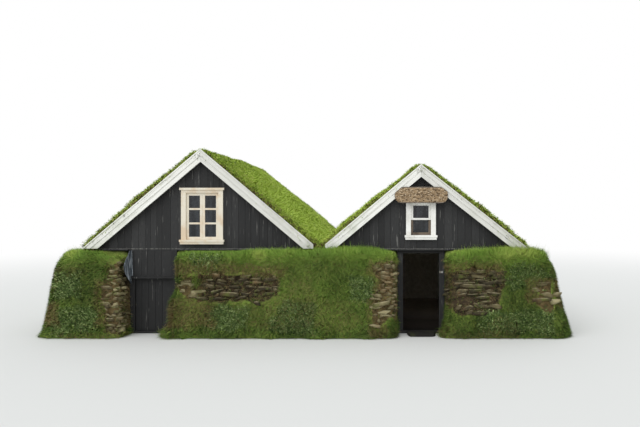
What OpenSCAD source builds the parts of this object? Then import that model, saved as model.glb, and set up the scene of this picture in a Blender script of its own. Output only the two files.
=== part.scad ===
// Turf house of two gabled timber bays between thick turf and stone walls.
// Millimetres. +Z is up, +X runs along the front from left to right, and the front looks along -Y.
// The origin is on the ground under the middle of the house.
// The left bay is bay 0 and the right bay is bay 1. A roof slope is side -1 (left) or side 1 (right).

/* [Plan] */
// Distance between the outer faces of the front and back gable boards
house_len = 6100; // [4800:50:8000]
// Clear width between the walls of the left bay
left_bay_w = 3740; // [3300:10:4200]
// Clear width between the walls of the right bay
right_bay_w = 3125; // [2800:5:3600]

/* [Turf walls] */
// Height of the turf walls
wall_h = 1800; // [1750:10:2200]
// Thickness of the left side wall at its foot
left_wall_t = 1515; // [1400:5:1900]
// Thickness of the right side wall at its foot
right_wall_t = 1549; // [1400:1:1900]
// Thickness of the wall that the two bays share
shared_wall_t = 1366; // [1200:2:1700]
// How far the front and back walls stand out from the gable boards at their foot
wall_out = 600; // [500:10:900]
// How far the front and back walls reach inwards from the face of the gable boards
wall_in = 500; // [400:10:800]
// Inward lean of the side faces for each unit of height
side_lean = 0.17; // [0.08:0.01:0.2]
// Height of the round shoulder of the side walls
side_shoulder_h = 560; // [400:10:700]
// Width of the round shoulder of the side walls
side_shoulder_w = 350; // [200:10:400]
// Inward lean of the front and back faces for each unit of height
end_lean = 0.1; // [0.04:0.01:0.12]
// Height of the round shoulder of the front and back walls
end_shoulder_h = 300; // [200:10:400]
// Width of the round shoulder of the front and back walls
end_shoulder_w = 220; // [120:10:240]
// Inward lean of the wall ends beside the doors for each unit of height
reveal_lean = 0.02; // [0:0.01:0.05]
// Height of the round shoulder of the wall ends beside the doors
reveal_shoulder_h = 260; // [150:10:350]
// Width of the round shoulder of the wall ends beside the doors
reveal_shoulder_w = 130; // [60:10:180]
// Radius of the outer corners of the house in plan
corner_r = 420; // [250:10:480]
// Radius in plan of the wall corners beside the doors
reveal_r = 170; // [80:10:220]
// How far slumped turf swells over the edge of a doorway at the ground
foot_swell = 165; // [60:5:200]
// Height of the slumped turf
foot_swell_h = 450; // [300:10:600]
// How far the outer faces of the walls bulge and sink
bulge = 45; // [10:5:60]
// Distance along a wall between the places where its face bulges or sinks
bulge_step = 370; // [300:10:500]
// Depth of the hollow faces where the stones of the front walls show
hollow_d = 70; // [20:5:90]
// Height of the foot of the hollow faces
hollow_z0 = 850; // [750:10:950]
// Height of the head of the hollow faces
hollow_z1 = 1250; // [1150:10:1350]
// Distance from a door post to the hollow face beside it
hollow_set = 250; // [200:10:400]
// Length of the hollow face beside the left door
left_hollow_w = 2000; // [1500:50:2400]
// Length of the hollow face beside the right doorway
right_hollow_w = 900; // [700:50:1200]
// How far the left wall end covers the door post beside it
wing_cover = 56; // [4:2:80]
// How far the other wall ends stand back from the door posts beside them
wing_back = 12; // [2:2:40]

/* [Roof] */
// Pitch of both slopes of the left roof in degrees
left_roof_angle = 40.2; // [37:0.1:43]
// Pitch of the left slope of the right roof in degrees
right_roof_inner_angle = 39.9; // [37:0.1:42]
// Pitch of the right slope of the right roof in degrees
right_roof_outer_angle = 38.1; // [37:0.1:42]
// Distance from a wall's inner face to the inner edge of the wall plate on it
plate_set = 150; // [120:5:200]
// Width of a wall plate
plate_w = 150; // [100:5:180]
// Height of a wall plate
plate_h = 100; // [80:5:140]
// Width of a rafter along the house
rafter_w = 80; // [60:5:120]
// Depth of a rafter square to the slope
rafter_d = 120; // [100:5:160]
// Number of rafter pairs in each bay
rafter_pairs = 6; // [5:1:8]
// Thickness of the roof boards
roof_board_t = 25; // [20:1:35]
// Thickness of the turf on the roof square to the slope
sod_t = 240; // [200:5:320]
// Radius of the rounded turf ridge
sod_ridge_r = 300; // [150:10:400]
// Length over which the turf rounds off at the eaves
sod_toe = 260; // [150:10:350]
// How far the roof turf reaches past the inner face of the side walls
sod_reach = 705; // [685:5:760]

/* [Lofts] */
// Depth of a loft joist
joist_h = 120; // [100:5:150]
// Width of a loft joist
joist_w = 80; // [60:5:100]
// Thickness of the loft floor
floor_t = 25; // [20:1:35]

/* [Gables] */
// Thickness of the gable boards
gable_t = 25; // [20:1:35]
// How far the roof stands out past the gable boards
verge = 120; // [80:5:180]
// Depth of the bargeboards with their cap strip, square to the slope
barge_d = 210; // [180:5:230]
// Part of that depth that is the lower board
barge_low_d = 100; // [80:2:110]
// Thickness of the lower bargeboard
barge_low_t = 25; // [18:1:30]
// Thickness of the upper bargeboard
barge_up_t = 40; // [34:1:50]
// Thickness of the cap strip
cap_t = 25; // [18:1:30]
// How far the cap strip stands out past the upper bargeboard
cap_lip = 15; // [5:1:25]
// Height of the top of the cap strip over the roof boards, square to the slope
barge_rise = 145; // [125:5:170]
// How far the outer bargeboards reach past the inner face of the wall
barge_reach = 680; // [600:10:740]
// Space from the valley to the end of a bargeboard
valley_space = 128; // [60:2:180]
// Height of the cut feet of the bargeboards over the turf wall
barge_foot = 45; // [20:5:80]
// Width of the joint between two bargeboards at the peak
peak_joint = 2; // [1:0.5:4]
// Depth of the drip boards at the foot of the gables
drip_d = 60; // [40:5:90]
// Thickness of the drip boards at their front edge
drip_t = 26; // [18:1:35]
// Height of the drip boards at their back edge
drip_back_h = 42; // [30:1:60]

/* [Windows] */
// Width of the opening of the left window
left_window_w = 700; // [600:10:800]
// Height of the opening of the left window
left_window_h = 1017; // [900:1:1050]
// Height of the opening of the left window over the turf wall
left_window_sill = 233; // [190:1:280]
// Width of the opening of the right window
right_window_w = 436; // [400:2:480]
// Height of the opening of the right window
right_window_h = 700; // [660:5:740]
// Height of the opening of the right window over the turf wall
right_window_sill = 331; // [280:1:350]
// Width of the casing boards round a window
casing_w = 104; // [85:1:115]
// How far the casing boards stand out from the gable boards
casing_t = 28; // [20:1:36]
// Thickness of the box lining of a window
lining_t = 20; // [15:1:28]
// Depth of the box lining behind the face of the gable boards
lining_d = 95; // [90:1:110]
// Height of the head casing of a window
head_h = 60; // [45:1:70]
// Height of the cap over the head casing
head_cap_h = 46; // [30:1:55]
// How far the cap and the sill stand out past the casing at each end
window_horn = 30; // [15:1:40]
// Height of the upper layer of a window sill
sill_top_h = 48; // [35:1:55]
// Height of the lower layer of a window sill
sill_low_h = 50; // [35:1:60]
// How far the upper layer of a window sill stands out
sill_out = 72; // [55:1:85]
// How far the lower layer of a window sill stands out
sill_low_out = 58; // [40:1:70]
// Space between a sash and the face of the gable boards
sash_set = 12; // [5:1:20]
// Space between two sliding sashes
sash_space = 2; // [1:0.5:4]
// Thickness of a sash
sash_t = 30; // [26:1:34]
// Width of the stiles of the casements
stile_w = 54; // [40:1:65]
// Width of the rails of the casements
rail_w = 60; // [45:1:70]
// Width of the glazing bars
bar_w = 40; // [25:1:50]
// Number of panes in each casement
panes = 3; // [2:1:4]
// Width of the stiles of the sliding sashes
slide_stile_w = 50; // [40:1:60]
// Width of the rails of the sliding sashes
slide_rail_w = 58; // [45:1:65]
// Height of the meeting rails of the sliding sashes
meeting_h = 42; // [30:1:50]
// Thickness of the glass
glass_t = 4; // [3:0.5:6]

/* [Doors] */
// Distance from the wall of the left bay to the opening of its door
left_door_set = 396; // [300:2:600]
// Width of the opening of the left door
left_door_w = 802; // [700:2:950]
// Height of the opening of the left door
left_door_h = 1167; // [1100:1:1400]
// Distance from the wall of the right bay to its doorway
right_door_set = 1119; // [900:1:1400]
// Width of the right doorway
right_door_w = 782; // [700:2:900]
// Height of the right doorway
right_door_h = 1740; // [1650:5:1760]
// Width of the door posts
post_w = 120; // [90:5:150]
// Depth of the door posts
post_d = 100; // [80:5:130]
// Height of the lintel over the left door
lintel_h = 60; // [45:5:90]
// Height of the thresholds
threshold_h = 50; // [30:5:70]
// Thickness of the door leaf
leaf_t = 36; // [28:1:45]
// Clear space round the door leaf
leaf_gap = 5; // [5:0.5:8]
// More space at the free edge of the leaf, for its outer corner to swing past the post
swing_gap = 2; // [1.5:0.5:6]
// Width of the stop strips on the door posts
stop_w = 16; // [12:1:24]
// Radius of the hinge barrels
hinge_r = 9; // [7:0.5:12]
// Height of each half of a hinge barrel
hinge_h = 42; // [30:1:60]
// Height of the lower hinge over the foot of the leaf
hinge_low = 176; // [100:2:250]
// Depth of the upper hinge under the head of the leaf
hinge_high = 222; // [100:2:300]
// Length of the straps on the door leaf
strap_len = 420; // [300:10:600]
// Thickness of the hinge iron
iron_t = 5; // [4:0.5:7]

/* [Details] */
// Length of the plank over the right window
plank_len = 1150; // [1000:10:1250]
// Height of the plank over the right window
plank_h = 355; // [300:5:370]
// Thickness of the plank over the right window
plank_t = 45; // [30:1:60]
// Height of the middle of the plank over the turf wall
plank_z = 1198; // [1185:1:1200]
// Length of the straight upper edge of the plank
plank_top_len = 640; // [400:10:700]
// Length of the straight lower edge of the plank
plank_low_len = 800; // [600:10:900]
// Length of the doorstep stone
step_len = 620; // [500:10:700]
// Depth of the doorstep stone
step_d = 400; // [300:10:450]
// Height of the doorstep stone
step_h = 70; // [50:5:90]
// Width of the doorstep stone at its front edge
step_front_len = 430; // [300:10:500]
// Drop of the grey sheet beside the left door
sheet_drop = 700; // [500:10:760]
// How far that sheet reaches forward along the wall end
sheet_reach = 330; // [200:10:400]
// Width of the part of the sheet that lies on the door post
sheet_leg_w = 48; // [30:2:60]
// Thickness of that sheet
sheet_t = 5; // [3:0.5:8]
// Height of the hasp over the ground
hasp_z = 1330; // [1200:10:1450]
// Length of the hasp plate and of the hinge hooks' plates
plate_len = 84; // [60:2:90]
// Radius of the staple on the hasp plate
staple_r = 19; // [12:1:21]
// Radius of the wire of the staple
wire_r = 4; // [2:0.5:5]

/* [Hidden] */
$fn = 32;

// Small clear space between neighbours that aren't joined
fit = 0.3;
// Steps in a rounded corner of a turf wall
corner_steps = 6;
// Angle between the levels of a turf wall's shoulder
shoulder_angle = 15;
// Levels in the slumped foot of a wall
swell_steps = 3;
// Turn of the wave of bulges from one place of a wall face to the next
bulge_turn = 130;
// Steps in the rounded ridge and toe of the roof turf
sod_steps = 6;
// Steps in the curved edges of the plank, the hanging sheet and the doorstep
plank_steps = 6;
sheet_steps = 6;
stone_steps = 5;
// Space between the plank and the edges of the upper bargeboards
plank_clear = 4;

turf_green = "olivedrab";
wall_green = "darkolivegreen";
tarred = "#2e2f30";
raw_wood = "tan";
white_paint = "whitesmoke";
cream_paint = "antiquewhite";
grey_wood = "#7d7468";
stone_grey = "dimgray";
iron_black = "#262626";
glass_grey = "#4a5a60";

// Places along the front
total_w = left_wall_t + left_bay_w + shared_wall_t + right_bay_w + right_wall_t;
outer_x0 = -total_w / 2;
outer_x1 = total_w / 2;
left_x0 = outer_x0 + left_wall_t;
left_x1 = left_x0 + left_bay_w;
right_x0 = left_x1 + shared_wall_t;
right_x1 = right_x0 + right_bay_w;
valley_x = (left_x1 + right_x0) / 2;

// Places from front to back
front_y = -house_len / 2;
back_y = house_len / 2;
front_foot_y = front_y - wall_out;
back_foot_y = back_y + wall_out;
front_in_y = front_y + wall_in;
back_in_y = back_y - wall_in;
verge_front_y = front_y - verge;
verge_back_y = back_y + verge;

// Offsets square to the slope, counted from the underside of the rafters
boards_low = rafter_d + fit;
boards_top = boards_low + roof_board_t;
sod_top = boards_top + sod_t;
barge_top = boards_top + barge_rise;
barge_low = barge_top - barge_d;
barge_split = barge_low + barge_low_d;
barge_under_cap = barge_top - cap_t;
seat_z = wall_h + plate_h;
barge_foot_z = wall_h + barge_foot;

// Heights in the lofts and doors
floor_low_z = wall_h + joist_h;
floor_top_z = floor_low_z + floor_t;
left_door_x0 = left_x0 + left_door_set;
left_door_x1 = left_door_x0 + left_door_w;
right_door_x0 = right_x0 + right_door_set;
right_door_x1 = right_door_x0 + right_door_w;
left_window_z = wall_h + left_window_sill;
right_window_z = wall_h + right_window_sill;
right_window_top_z = right_window_z + right_window_h;
meeting_z = right_window_z + right_window_h / 2 + meeting_h / 2;

// Depths of the window parts behind the face of the gable boards
sash_y = front_y + sash_set;
inner_sash_y = sash_y + sash_t + sash_space;

// The door leaf closes against the stop strips from inside
leaf_in_y = front_y + post_d;
hinge_x = left_door_x0 + leaf_gap / 2;
hinge_y = leaf_in_y + hinge_r;
leaf_z0 = threshold_h + leaf_gap;
leaf_z1 = left_door_h - leaf_gap;
leaf_h = leaf_z1 - leaf_z0;
hinge_levels = [leaf_z0 + hinge_low, leaf_z1 - hinge_high];

function bay_x0(bay) = bay == 0 ? left_x0 : right_x0;
function bay_x1(bay) = bay == 0 ? left_x1 : right_x1;
function pitch(bay, side) = bay == 0 ? left_roof_angle : side < 0 ? right_roof_inner_angle : right_roof_outer_angle;
function seat_x(bay, side) = side < 0 ? bay_x0(bay) - plate_set : bay_x1(bay) + plate_set;

// Height of a roof line at x, where rise is the offset square to the slope
function slope_z(bay, side, x, rise) =
    seat_z + side * (seat_x(bay, side) - x) * tan(pitch(bay, side)) + rise / cos(pitch(bay, side));

// Place on a roof line at a given height
function slope_x(bay, side, z, rise) =
    seat_x(bay, side) + side * (seat_z + rise / cos(pitch(bay, side)) - z) / tan(pitch(bay, side));

// Peak of the two roof lines of a bay
function peak(bay, rise) =
    let (
        tl = tan(pitch(bay, -1)),
        tr = tan(pitch(bay, 1)),
        lift = rise / cos(pitch(bay, 1)) - rise / cos(pitch(bay, -1)),
        x = (seat_x(bay, 1) * tr + seat_x(bay, -1) * tl + lift) / (tl + tr)
    )
    [x, slope_z(bay, -1, x, rise)];

// Outer ends of the bargeboards
function barge_x(bay, side) =
    bay == 0 ? (side < 0 ? left_x0 - barge_reach : valley_x - valley_space)
             : (side < 0 ? valley_x + valley_space : right_x1 + barge_reach);

// A face of a turf wall leans in and then rounds over at the top
function set_in(z, lean, round_h, round_w) =
    let (t = max(0, (z - wall_h + round_h) / round_h))
    lean * z + round_w * (1 - sqrt(max(0, 1 - t * t)));
function side_in(z) = set_in(z, side_lean, side_shoulder_h, side_shoulder_w);
function end_in(z) = set_in(z, end_lean, end_shoulder_h, end_shoulder_w);
function reveal_in(z) = set_in(z, reveal_lean, reveal_shoulder_h, reveal_shoulder_w);
function swell(z) = foot_swell * pow(max(0, 1 - z / foot_swell_h), 2);

// Heights at which the turf walls are lofted
wall_levels = concat(
    [for (i = [0 : swell_steps]) foot_swell_h * i / swell_steps],
    [for (a = [0 : shoulder_angle : 90]) wall_h - side_shoulder_h * (1 - sin(a))]
);

// A corner of a ring in plan: sharp, or an arc of radius r that starts at angle a0
function sharp(x, y) = [[x, y]];
function rounded(x, y, r, a0) =
    let (
        cx = x - r * (cos(a0) + cos(a0 + 90)),
        cy = y - r * (sin(a0) + sin(a0 + 90))
    )
    [for (i = [0 : corner_steps]) [
        cx + r * cos(a0 + 90 * i / corner_steps),
        cy + r * sin(a0 + 90 * i / corner_steps)
    ]];

// Point on a curve from a to c that leaves and arrives in the direction of b
function bend(a, b, c, t) = (1 - t) * (1 - t) * a + 2 * t * (1 - t) * b + t * t * c;

// Places between a and b on a wall face that bulges and sinks. The outside is on the right.
function uneven(a, b, count) =
    let (
        along = (b - a) / norm(b - a),
        out = [along[1], -along[0]]
    )
    [for (i = [1 : 1 : count - 1]) a + (b - a) * i / count + bulge * sin(bulge_turn * i) * out];
function face_count(length) = max(1, round(length / bulge_step));

// Closed solid through rings of points, one ring for each level
module loft(rings, levels) {
    n = len(rings[0]);
    m = len(rings);
    points = [for (j = [0 : m - 1]) for (p = rings[j]) [p[0], p[1], levels[j]]];
    foot = [for (i = [0 : n - 1]) i];
    top = [for (i = [n - 1 : -1 : 0]) (m - 1) * n + i];
    walls = [
        for (j = [0 : m - 2]) for (i = [0 : n - 1])
            let (a = j * n + i, b = j * n + (i + 1) % n)
            each [[a, a + n, b + n], [a, b + n, b]]
    ];
    polyhedron(points = points, faces = concat([foot, top], walls), convexity = 6);
}

module turf_wall(rings) {
    color(wall_green) loft(rings, wall_levels);
}

// Ring of a turf wall without a doorway at height z, with sharp corners where radius is 0.
// The back face is uneven, in back_count steps, and so is a side face that ends in a round corner.
function plain_ring(x0, x1, z, back_count, r_left, r_right, y0 = front_in_y) =
    let (y1 = back_foot_y - end_in(z))
    concat(
        sharp(x0, y0),
        sharp(x1, y0),
        r_right > 0 ? uneven([x1, y0], [x1, y1 - r_right], side_count) : [],
        r_right > 0 ? rounded(x1, y1, r_right, 0) : sharp(x1, y1),
        uneven([x1 - r_right, y1], [x0 + r_left, y1], back_count),
        r_left > 0 ? rounded(x0, y1, r_left, 90) : sharp(x0, y1),
        r_left > 0 ? uneven([x0, y1 - r_left], [x0, y0], side_count) : []
    );
side_count = face_count(back_foot_y - front_in_y - corner_r);

// Ring of a front wall at height z, with round front corners of radius r0 and r1
function front_ring(x0, x1, z, count, r0, r1) =
    let (front = front_foot_y + end_in(z))
    concat(
        rounded(x0, front, r0, 180),
        uneven([x0 + r0, front], [x1 - r1, front], count),
        rounded(x1, front, r1, 270),
        sharp(x1, front_in_y),
        sharp(x0, front_in_y)
    );

// Wedge that is cut from a front wall so that its face is hollow from x0 to x1
module stone_hollow(x0, x1) {
    low_y = front_foot_y + end_in(hollow_z0) + hollow_d;
    high_y = front_foot_y + end_in(hollow_z1) + hollow_d;
    out_y = front_foot_y - 2 * bulge;
    flare = high_y - out_y;
    points = [
        [x0, low_y, hollow_z0], [x1, low_y, hollow_z0], [x1, high_y, hollow_z1], [x0, high_y, hollow_z1],
        [x0 - flare, out_y, hollow_z0 - flare], [x1 + flare, out_y, hollow_z0 - flare],
        [x1 + flare, out_y, hollow_z1 + flare], [x0 - flare, out_y, hollow_z1 + flare],
    ];
    sides = [for (i = [0 : 3]) let (j = (i + 1) % 4) each [[4 + i, 4 + j, j], [4 + i, j, i]]];
    polyhedron(points = points, faces = concat([[0, 1, 2, 3], [4, 7, 6, 5]], sides));
}

// Front wall whose weathered ends are squared off against door posts behind the gable boards.
// Each end is its x, and 1 where the doorway lies to the right of it or -1 where it lies to the left.
module squared(ends) {
    cut = foot_swell + wing_cover + wall_out;
    block = post_w + reveal_shoulder_w + wall_out;
    color(wall_green) union() {
        difference() {
            children();
            for (end = ends)
                translate([end[1] > 0 ? end[0] : end[0] - cut, front_y, -cut])
                    cube([cut, wall_in + cut, wall_h + 2 * cut]);
        }
        for (end = ends)
            translate([end[1] > 0 ? end[0] - block : end[0], front_y, 0])
                cube([block, wall_in, wall_h]);
    }
}

module left_front_wall() {
    post_x = left_door_x0 - post_w;
    count = face_count(post_x - outer_x0 - corner_r);
    squared([[post_x, 1]])
        loft([for (z = wall_levels) front_ring(
            outer_x0 + side_in(z), post_x + wing_cover - reveal_in(z), z, count, corner_r, reveal_r)],
            wall_levels);
}

module middle_front_wall() {
    post_x0 = left_door_x1 + post_w;
    post_x1 = right_door_x0 - post_w;
    count = face_count(post_x1 - post_x0);
    squared([[post_x0, -1], [post_x1, 1]])
        difference() {
            loft([for (z = wall_levels) front_ring(
                post_x0 + wing_back + reveal_in(z) - swell(z), post_x1 - wing_back - reveal_in(z),
                z, count, reveal_r, reveal_r)],
                wall_levels);
            stone_hollow(post_x0 + hollow_set, post_x0 + hollow_set + left_hollow_w);
        }
}

module right_front_wall() {
    post_x = right_door_x1 + post_w;
    count = face_count(outer_x1 - post_x - corner_r);
    squared([[post_x, -1]])
        difference() {
            loft([for (z = wall_levels) front_ring(
                post_x + wing_back + reveal_in(z) - swell(z), outer_x1 - side_in(z),
                z, count, reveal_r, corner_r)],
                wall_levels);
            stone_hollow(post_x + hollow_set, post_x + hollow_set + right_hollow_w);
        }
}

module left_side_wall() {
    count = face_count(left_wall_t - corner_r);
    turf_wall([for (z = wall_levels) plain_ring(outer_x0 + side_in(z), left_x0, z, count, corner_r, 0)]);
}

module right_side_wall() {
    count = face_count(right_wall_t - corner_r);
    turf_wall([for (z = wall_levels) plain_ring(right_x1, outer_x1 - side_in(z), z, count, 0, corner_r)]);
}

module shared_wall() {
    count = face_count(shared_wall_t);
    turf_wall([for (z = wall_levels) plain_ring(left_x1, right_x0, z, count, 0, 0)]);
}

module back_wall(bay) {
    count = face_count(bay_x1(bay) - bay_x0(bay));
    turf_wall([for (z = wall_levels) plain_ring(bay_x0(bay), bay_x1(bay), z, count, 0, 0, back_in_y)]);
}

// Upright slab with an outline in X and Z, from y0 towards the back
module upright(y0, thickness, outline) {
    translate([0, y0 + thickness, 0])
        rotate([90, 0, 0])
            linear_extrude(thickness) polygon(outline);
}

// Turf on the roof of a bay: rounded ridge, a soft toe on the side wall, a sharp edge in the valley
module roof_turf(bay) {
    eave = bay == 0 ? -1 : 1;
    toe_x = bay == 0 ? left_x0 - sod_reach : right_x1 + sod_reach;
    bend_x = toe_x - eave * sod_toe;
    hub = peak(bay, sod_top - sod_ridge_r);
    a_left = 90 + pitch(bay, -1);
    a_right = 90 - pitch(bay, 1);
    ridge = [for (i = [0 : sod_steps])
        let (a = a_left + (a_right - a_left) * i / sod_steps)
        hub + sod_ridge_r * [cos(a), sin(a)]];
    toe = [for (i = [0 : sod_steps]) bend(
        [toe_x, wall_h],
        [toe_x, slope_z(bay, eave, toe_x, sod_top)],
        [bend_x, slope_z(bay, eave, bend_x, sod_top)],
        i / sod_steps)];
    valley = [
        [valley_x, wall_h],
        [valley_x, max(wall_h + sod_t / 2, slope_z(bay, -eave, valley_x, sod_top))],
    ];
    under = [
        [slope_x(bay, -1, wall_h, boards_top), wall_h],
        peak(bay, boards_top),
        [slope_x(bay, 1, wall_h, boards_top), wall_h],
    ];
    skin = bay == 0 ? concat(toe, ridge, [valley[1], valley[0]])
                    : concat(valley, ridge, [for (i = [sod_steps : -1 : 0]) toe[i]]);
    color(turf_green)
        upright(verge_front_y, house_len + 2 * verge, concat(skin, [under[2], under[1], under[0]]));
}

// Outline between two roof lines of a bay, from one end place to the other
function roof_band(bay, low, high, x0, x1) = [
    [x0, slope_z(bay, -1, x0, low)],
    [x0, slope_z(bay, -1, x0, high)],
    peak(bay, high),
    [x1, slope_z(bay, 1, x1, high)],
    [x1, slope_z(bay, 1, x1, low)],
    peak(bay, low),
];

// Wall plates on the wall heads, with pairs of rafters that stand on them
module roof_frame(bay) {
    frame_y0 = front_y + gable_t;
    frame_len = house_len - 2 * gable_t;
    spacing = (frame_len - rafter_w) / (rafter_pairs - 1);
    foot_l = seat_x(bay, -1);
    foot_r = seat_x(bay, 1);
    plates_x = [foot_l - plate_w, foot_r];
    pair = [
        [foot_l, seat_z],
        [foot_l - plate_w, seat_z],
        [foot_l - plate_w, slope_z(bay, -1, foot_l - plate_w, rafter_d)],
        peak(bay, rafter_d),
        [foot_r + plate_w, slope_z(bay, 1, foot_r + plate_w, rafter_d)],
        [foot_r + plate_w, seat_z],
        [foot_r, seat_z],
        peak(bay, 0),
    ];
    color(raw_wood) union() {
        for (x = plates_x)
            translate([x, frame_y0, wall_h])
                cube([plate_w, frame_len, plate_h]);
        for (i = [0 : rafter_pairs - 1])
            upright(frame_y0 + i * spacing, rafter_w, pair);
    }
}

module roof_boards(bay) {
    outline = [
        [slope_x(bay, -1, wall_h, boards_low), wall_h],
        [slope_x(bay, -1, wall_h, boards_top), wall_h],
        peak(bay, boards_top),
        [slope_x(bay, 1, wall_h, boards_top), wall_h],
        [slope_x(bay, 1, wall_h, boards_low), wall_h],
        peak(bay, boards_low),
    ];
    color(raw_wood) upright(verge_front_y, house_len + 2 * verge, outline);
}

// Loft joists on the wall heads, one between each two rafter pairs, with the floor nailed on them
module loft_floor(bay) {
    frame_len = house_len - 2 * gable_t;
    x0 = slope_x(bay, -1, floor_top_z, 0) + fit;
    x1 = slope_x(bay, 1, floor_top_z, 0) - fit;
    spacing = (frame_len - rafter_w) / (rafter_pairs - 1);
    first = front_y + gable_t + rafter_w / 2 + spacing / 2 - joist_w / 2;
    color(raw_wood) union() {
        translate([x0, front_y + gable_t, floor_low_z])
            cube([x1 - x0, frame_len, floor_t]);
        for (i = [0 : rafter_pairs - 2])
            translate([x0, first + i * spacing, wall_h])
                cube([x1 - x0, joist_w, joist_h + floor_t / 2]);
    }
}

// Gable outline under the roof boards, standing on the turf wall
function gable_outline(bay) = [
    [slope_x(bay, -1, wall_h, boards_low), wall_h],
    peak(bay, boards_low),
    [slope_x(bay, 1, wall_h, boards_low), wall_h],
];

module gable_boards(bay, window_w, window_h, window_z) {
    cut_w = window_w + 2 * lining_t + 2 * fit;
    cut_h = window_h + 2 * lining_t + 2 * fit;
    color(tarred) difference() {
        upright(front_y, gable_t, gable_outline(bay));
        translate([window_x(bay) - cut_w / 2, front_y - gable_t, window_z - lining_t - fit])
            cube([cut_w, 3 * gable_t, cut_h]);
    }
}

module back_gable(bay) {
    color(tarred) upright(back_y - gable_t, gable_t, gable_outline(bay));
}

// Pair of boards between two roof lines, with an open joint at the peak and level feet
module board_pair(bay, low, high, y0, thickness) {
    x0 = barge_x(bay, -1);
    x1 = barge_x(bay, 1);
    top = peak(bay, high);
    difference() {
        upright(y0, thickness, roof_band(bay, low, high, x0, x1));
        translate([x0 - thickness, y0 - thickness, 0])
            cube([x1 - x0 + 2 * thickness, 3 * thickness, barge_foot_z]);
        translate([top[0] - peak_joint / 2, y0 - thickness, 0])
            cube([peak_joint, 3 * thickness, 2 * top[1]]);
    }
}

// Upper bargeboards with the cap strip that covers their top edge and the end of the turf
module upper_bargeboards(bay) {
    color(white_paint) union() {
        board_pair(bay, barge_split, barge_top - cap_t / 2, verge_front_y - barge_up_t, barge_up_t);
        board_pair(bay, barge_under_cap, barge_top, verge_front_y - barge_up_t - cap_lip, barge_up_t + cap_lip);
    }
}

module lower_bargeboards(bay) {
    color(white_paint)
        board_pair(bay, barge_low, barge_split, verge_front_y - barge_low_t, barge_low_t);
}

module back_bargeboards(bay) {
    color(white_paint) union() {
        board_pair(bay, barge_low, barge_top - cap_t / 2, verge_back_y, barge_low_t);
        board_pair(bay, barge_under_cap, barge_top, verge_back_y, barge_low_t + cap_lip);
    }
}

function window_x(bay) = peak(bay, 0)[0];

// Box lining, casing boards, head cap and a sill of two layers
module window_frame(bay, w, h, z0, paint) {
    x = window_x(bay);
    outer_w = w + 2 * casing_w;
    sill_w = outer_w + 2 * window_horn;
    color(paint) union() {
        difference() {
            translate([x - w / 2 - lining_t, front_y - casing_t, z0 - lining_t])
                cube([w + 2 * lining_t, casing_t + lining_d, h + 2 * lining_t]);
            translate([x - w / 2, front_y - 2 * casing_t, z0])
                cube([w, 3 * casing_t + lining_d, h]);
        }
        for (edge = [x - outer_w / 2, x + w / 2 + lining_t / 2])
            translate([edge, front_y - casing_t, z0 - sill_top_h / 2])
                cube([casing_w - lining_t / 2, casing_t, h + sill_top_h / 2 + head_h / 2]);
        translate([x - outer_w / 2, front_y - casing_t, z0 + h + lining_t / 2])
            cube([outer_w, casing_t, head_h - lining_t / 2]);
        translate([x - sill_w / 2, front_y - 2 * casing_t, z0 + h + head_h])
            cube([sill_w, 2 * casing_t, head_cap_h]);
        translate([x - sill_w / 2, front_y - sill_out, z0 - sill_top_h])
            cube([sill_w, sill_out, sill_top_h - fit]);
        translate([x - sill_w / 2 + window_horn / 2, front_y - sill_low_out, z0 - sill_top_h - sill_low_h])
            cube([sill_w - window_horn, sill_low_out, sill_low_h + sill_top_h / 2]);
    }
}

// Sash with equal panes one above another
module sash(x0, z0, w, h, y0, stile, top_rail, bottom_rail, bar, count) {
    pane_h = (h - top_rail - bottom_rail - (count - 1) * bar) / count;
    difference() {
        translate([x0, y0, z0]) cube([w, sash_t, h]);
        for (i = [0 : count - 1])
            translate([x0 + stile, y0 - sash_t, z0 + bottom_rail + i * (pane_h + bar)])
                cube([w - 2 * stile, 3 * sash_t, pane_h]);
    }
}

module sash_glass(x0, z0, w, h, y0, stile, top_rail, bottom_rail, bar, count) {
    pane_h = (h - top_rail - bottom_rail - (count - 1) * bar) / count;
    for (i = [0 : count - 1])
        translate([x0 + stile + fit, y0 + (sash_t - glass_t) / 2, z0 + bottom_rail + i * (pane_h + bar) + fit])
            cube([w - 2 * stile - 2 * fit, glass_t, pane_h - 2 * fit]);
}

casement_w = (left_window_w - 4 * fit) / 2;
casement_h = left_window_h - 2 * fit;
function casement_x(i) = window_x(0) - left_window_w / 2 + fit + i * (casement_w + 2 * fit);

module left_casements() {
    color(cream_paint) for (i = [0, 1])
        sash(casement_x(i), left_window_z + fit, casement_w, casement_h, sash_y,
            stile_w, rail_w, rail_w, bar_w, panes);
}

slide_w = right_window_w - 2 * fit;
slide_x = window_x(1) - right_window_w / 2 + fit;
upper_sash_z = meeting_z - meeting_h;
upper_sash_h = right_window_top_z - fit - upper_sash_z;
lower_sash_z = right_window_z + fit;
lower_sash_h = meeting_z - lower_sash_z;

module right_upper_sash() {
    color(white_paint)
        sash(slide_x, upper_sash_z, slide_w, upper_sash_h, sash_y,
            slide_stile_w, slide_rail_w, meeting_h, bar_w, 1);
}

module right_lower_sash() {
    color(grey_wood)
        sash(slide_x, lower_sash_z, slide_w, lower_sash_h, inner_sash_y,
            slide_stile_w, meeting_h, slide_rail_w, bar_w, 1);
}

module left_window_glass() {
    color(glass_grey) for (i = [0, 1])
        sash_glass(casement_x(i), left_window_z + fit, casement_w, casement_h, sash_y,
            stile_w, rail_w, rail_w, bar_w, panes);
}

module right_window_glass() {
    color(glass_grey) {
        sash_glass(slide_x, upper_sash_z, slide_w, upper_sash_h, sash_y,
            slide_stile_w, slide_rail_w, meeting_h, bar_w, 1);
        sash_glass(slide_x, lower_sash_z, slide_w, lower_sash_h, inner_sash_y,
            slide_stile_w, meeting_h, slide_rail_w, bar_w, 1);
    }
}

door_drip_z = left_door_h + lintel_h / 2;
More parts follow.
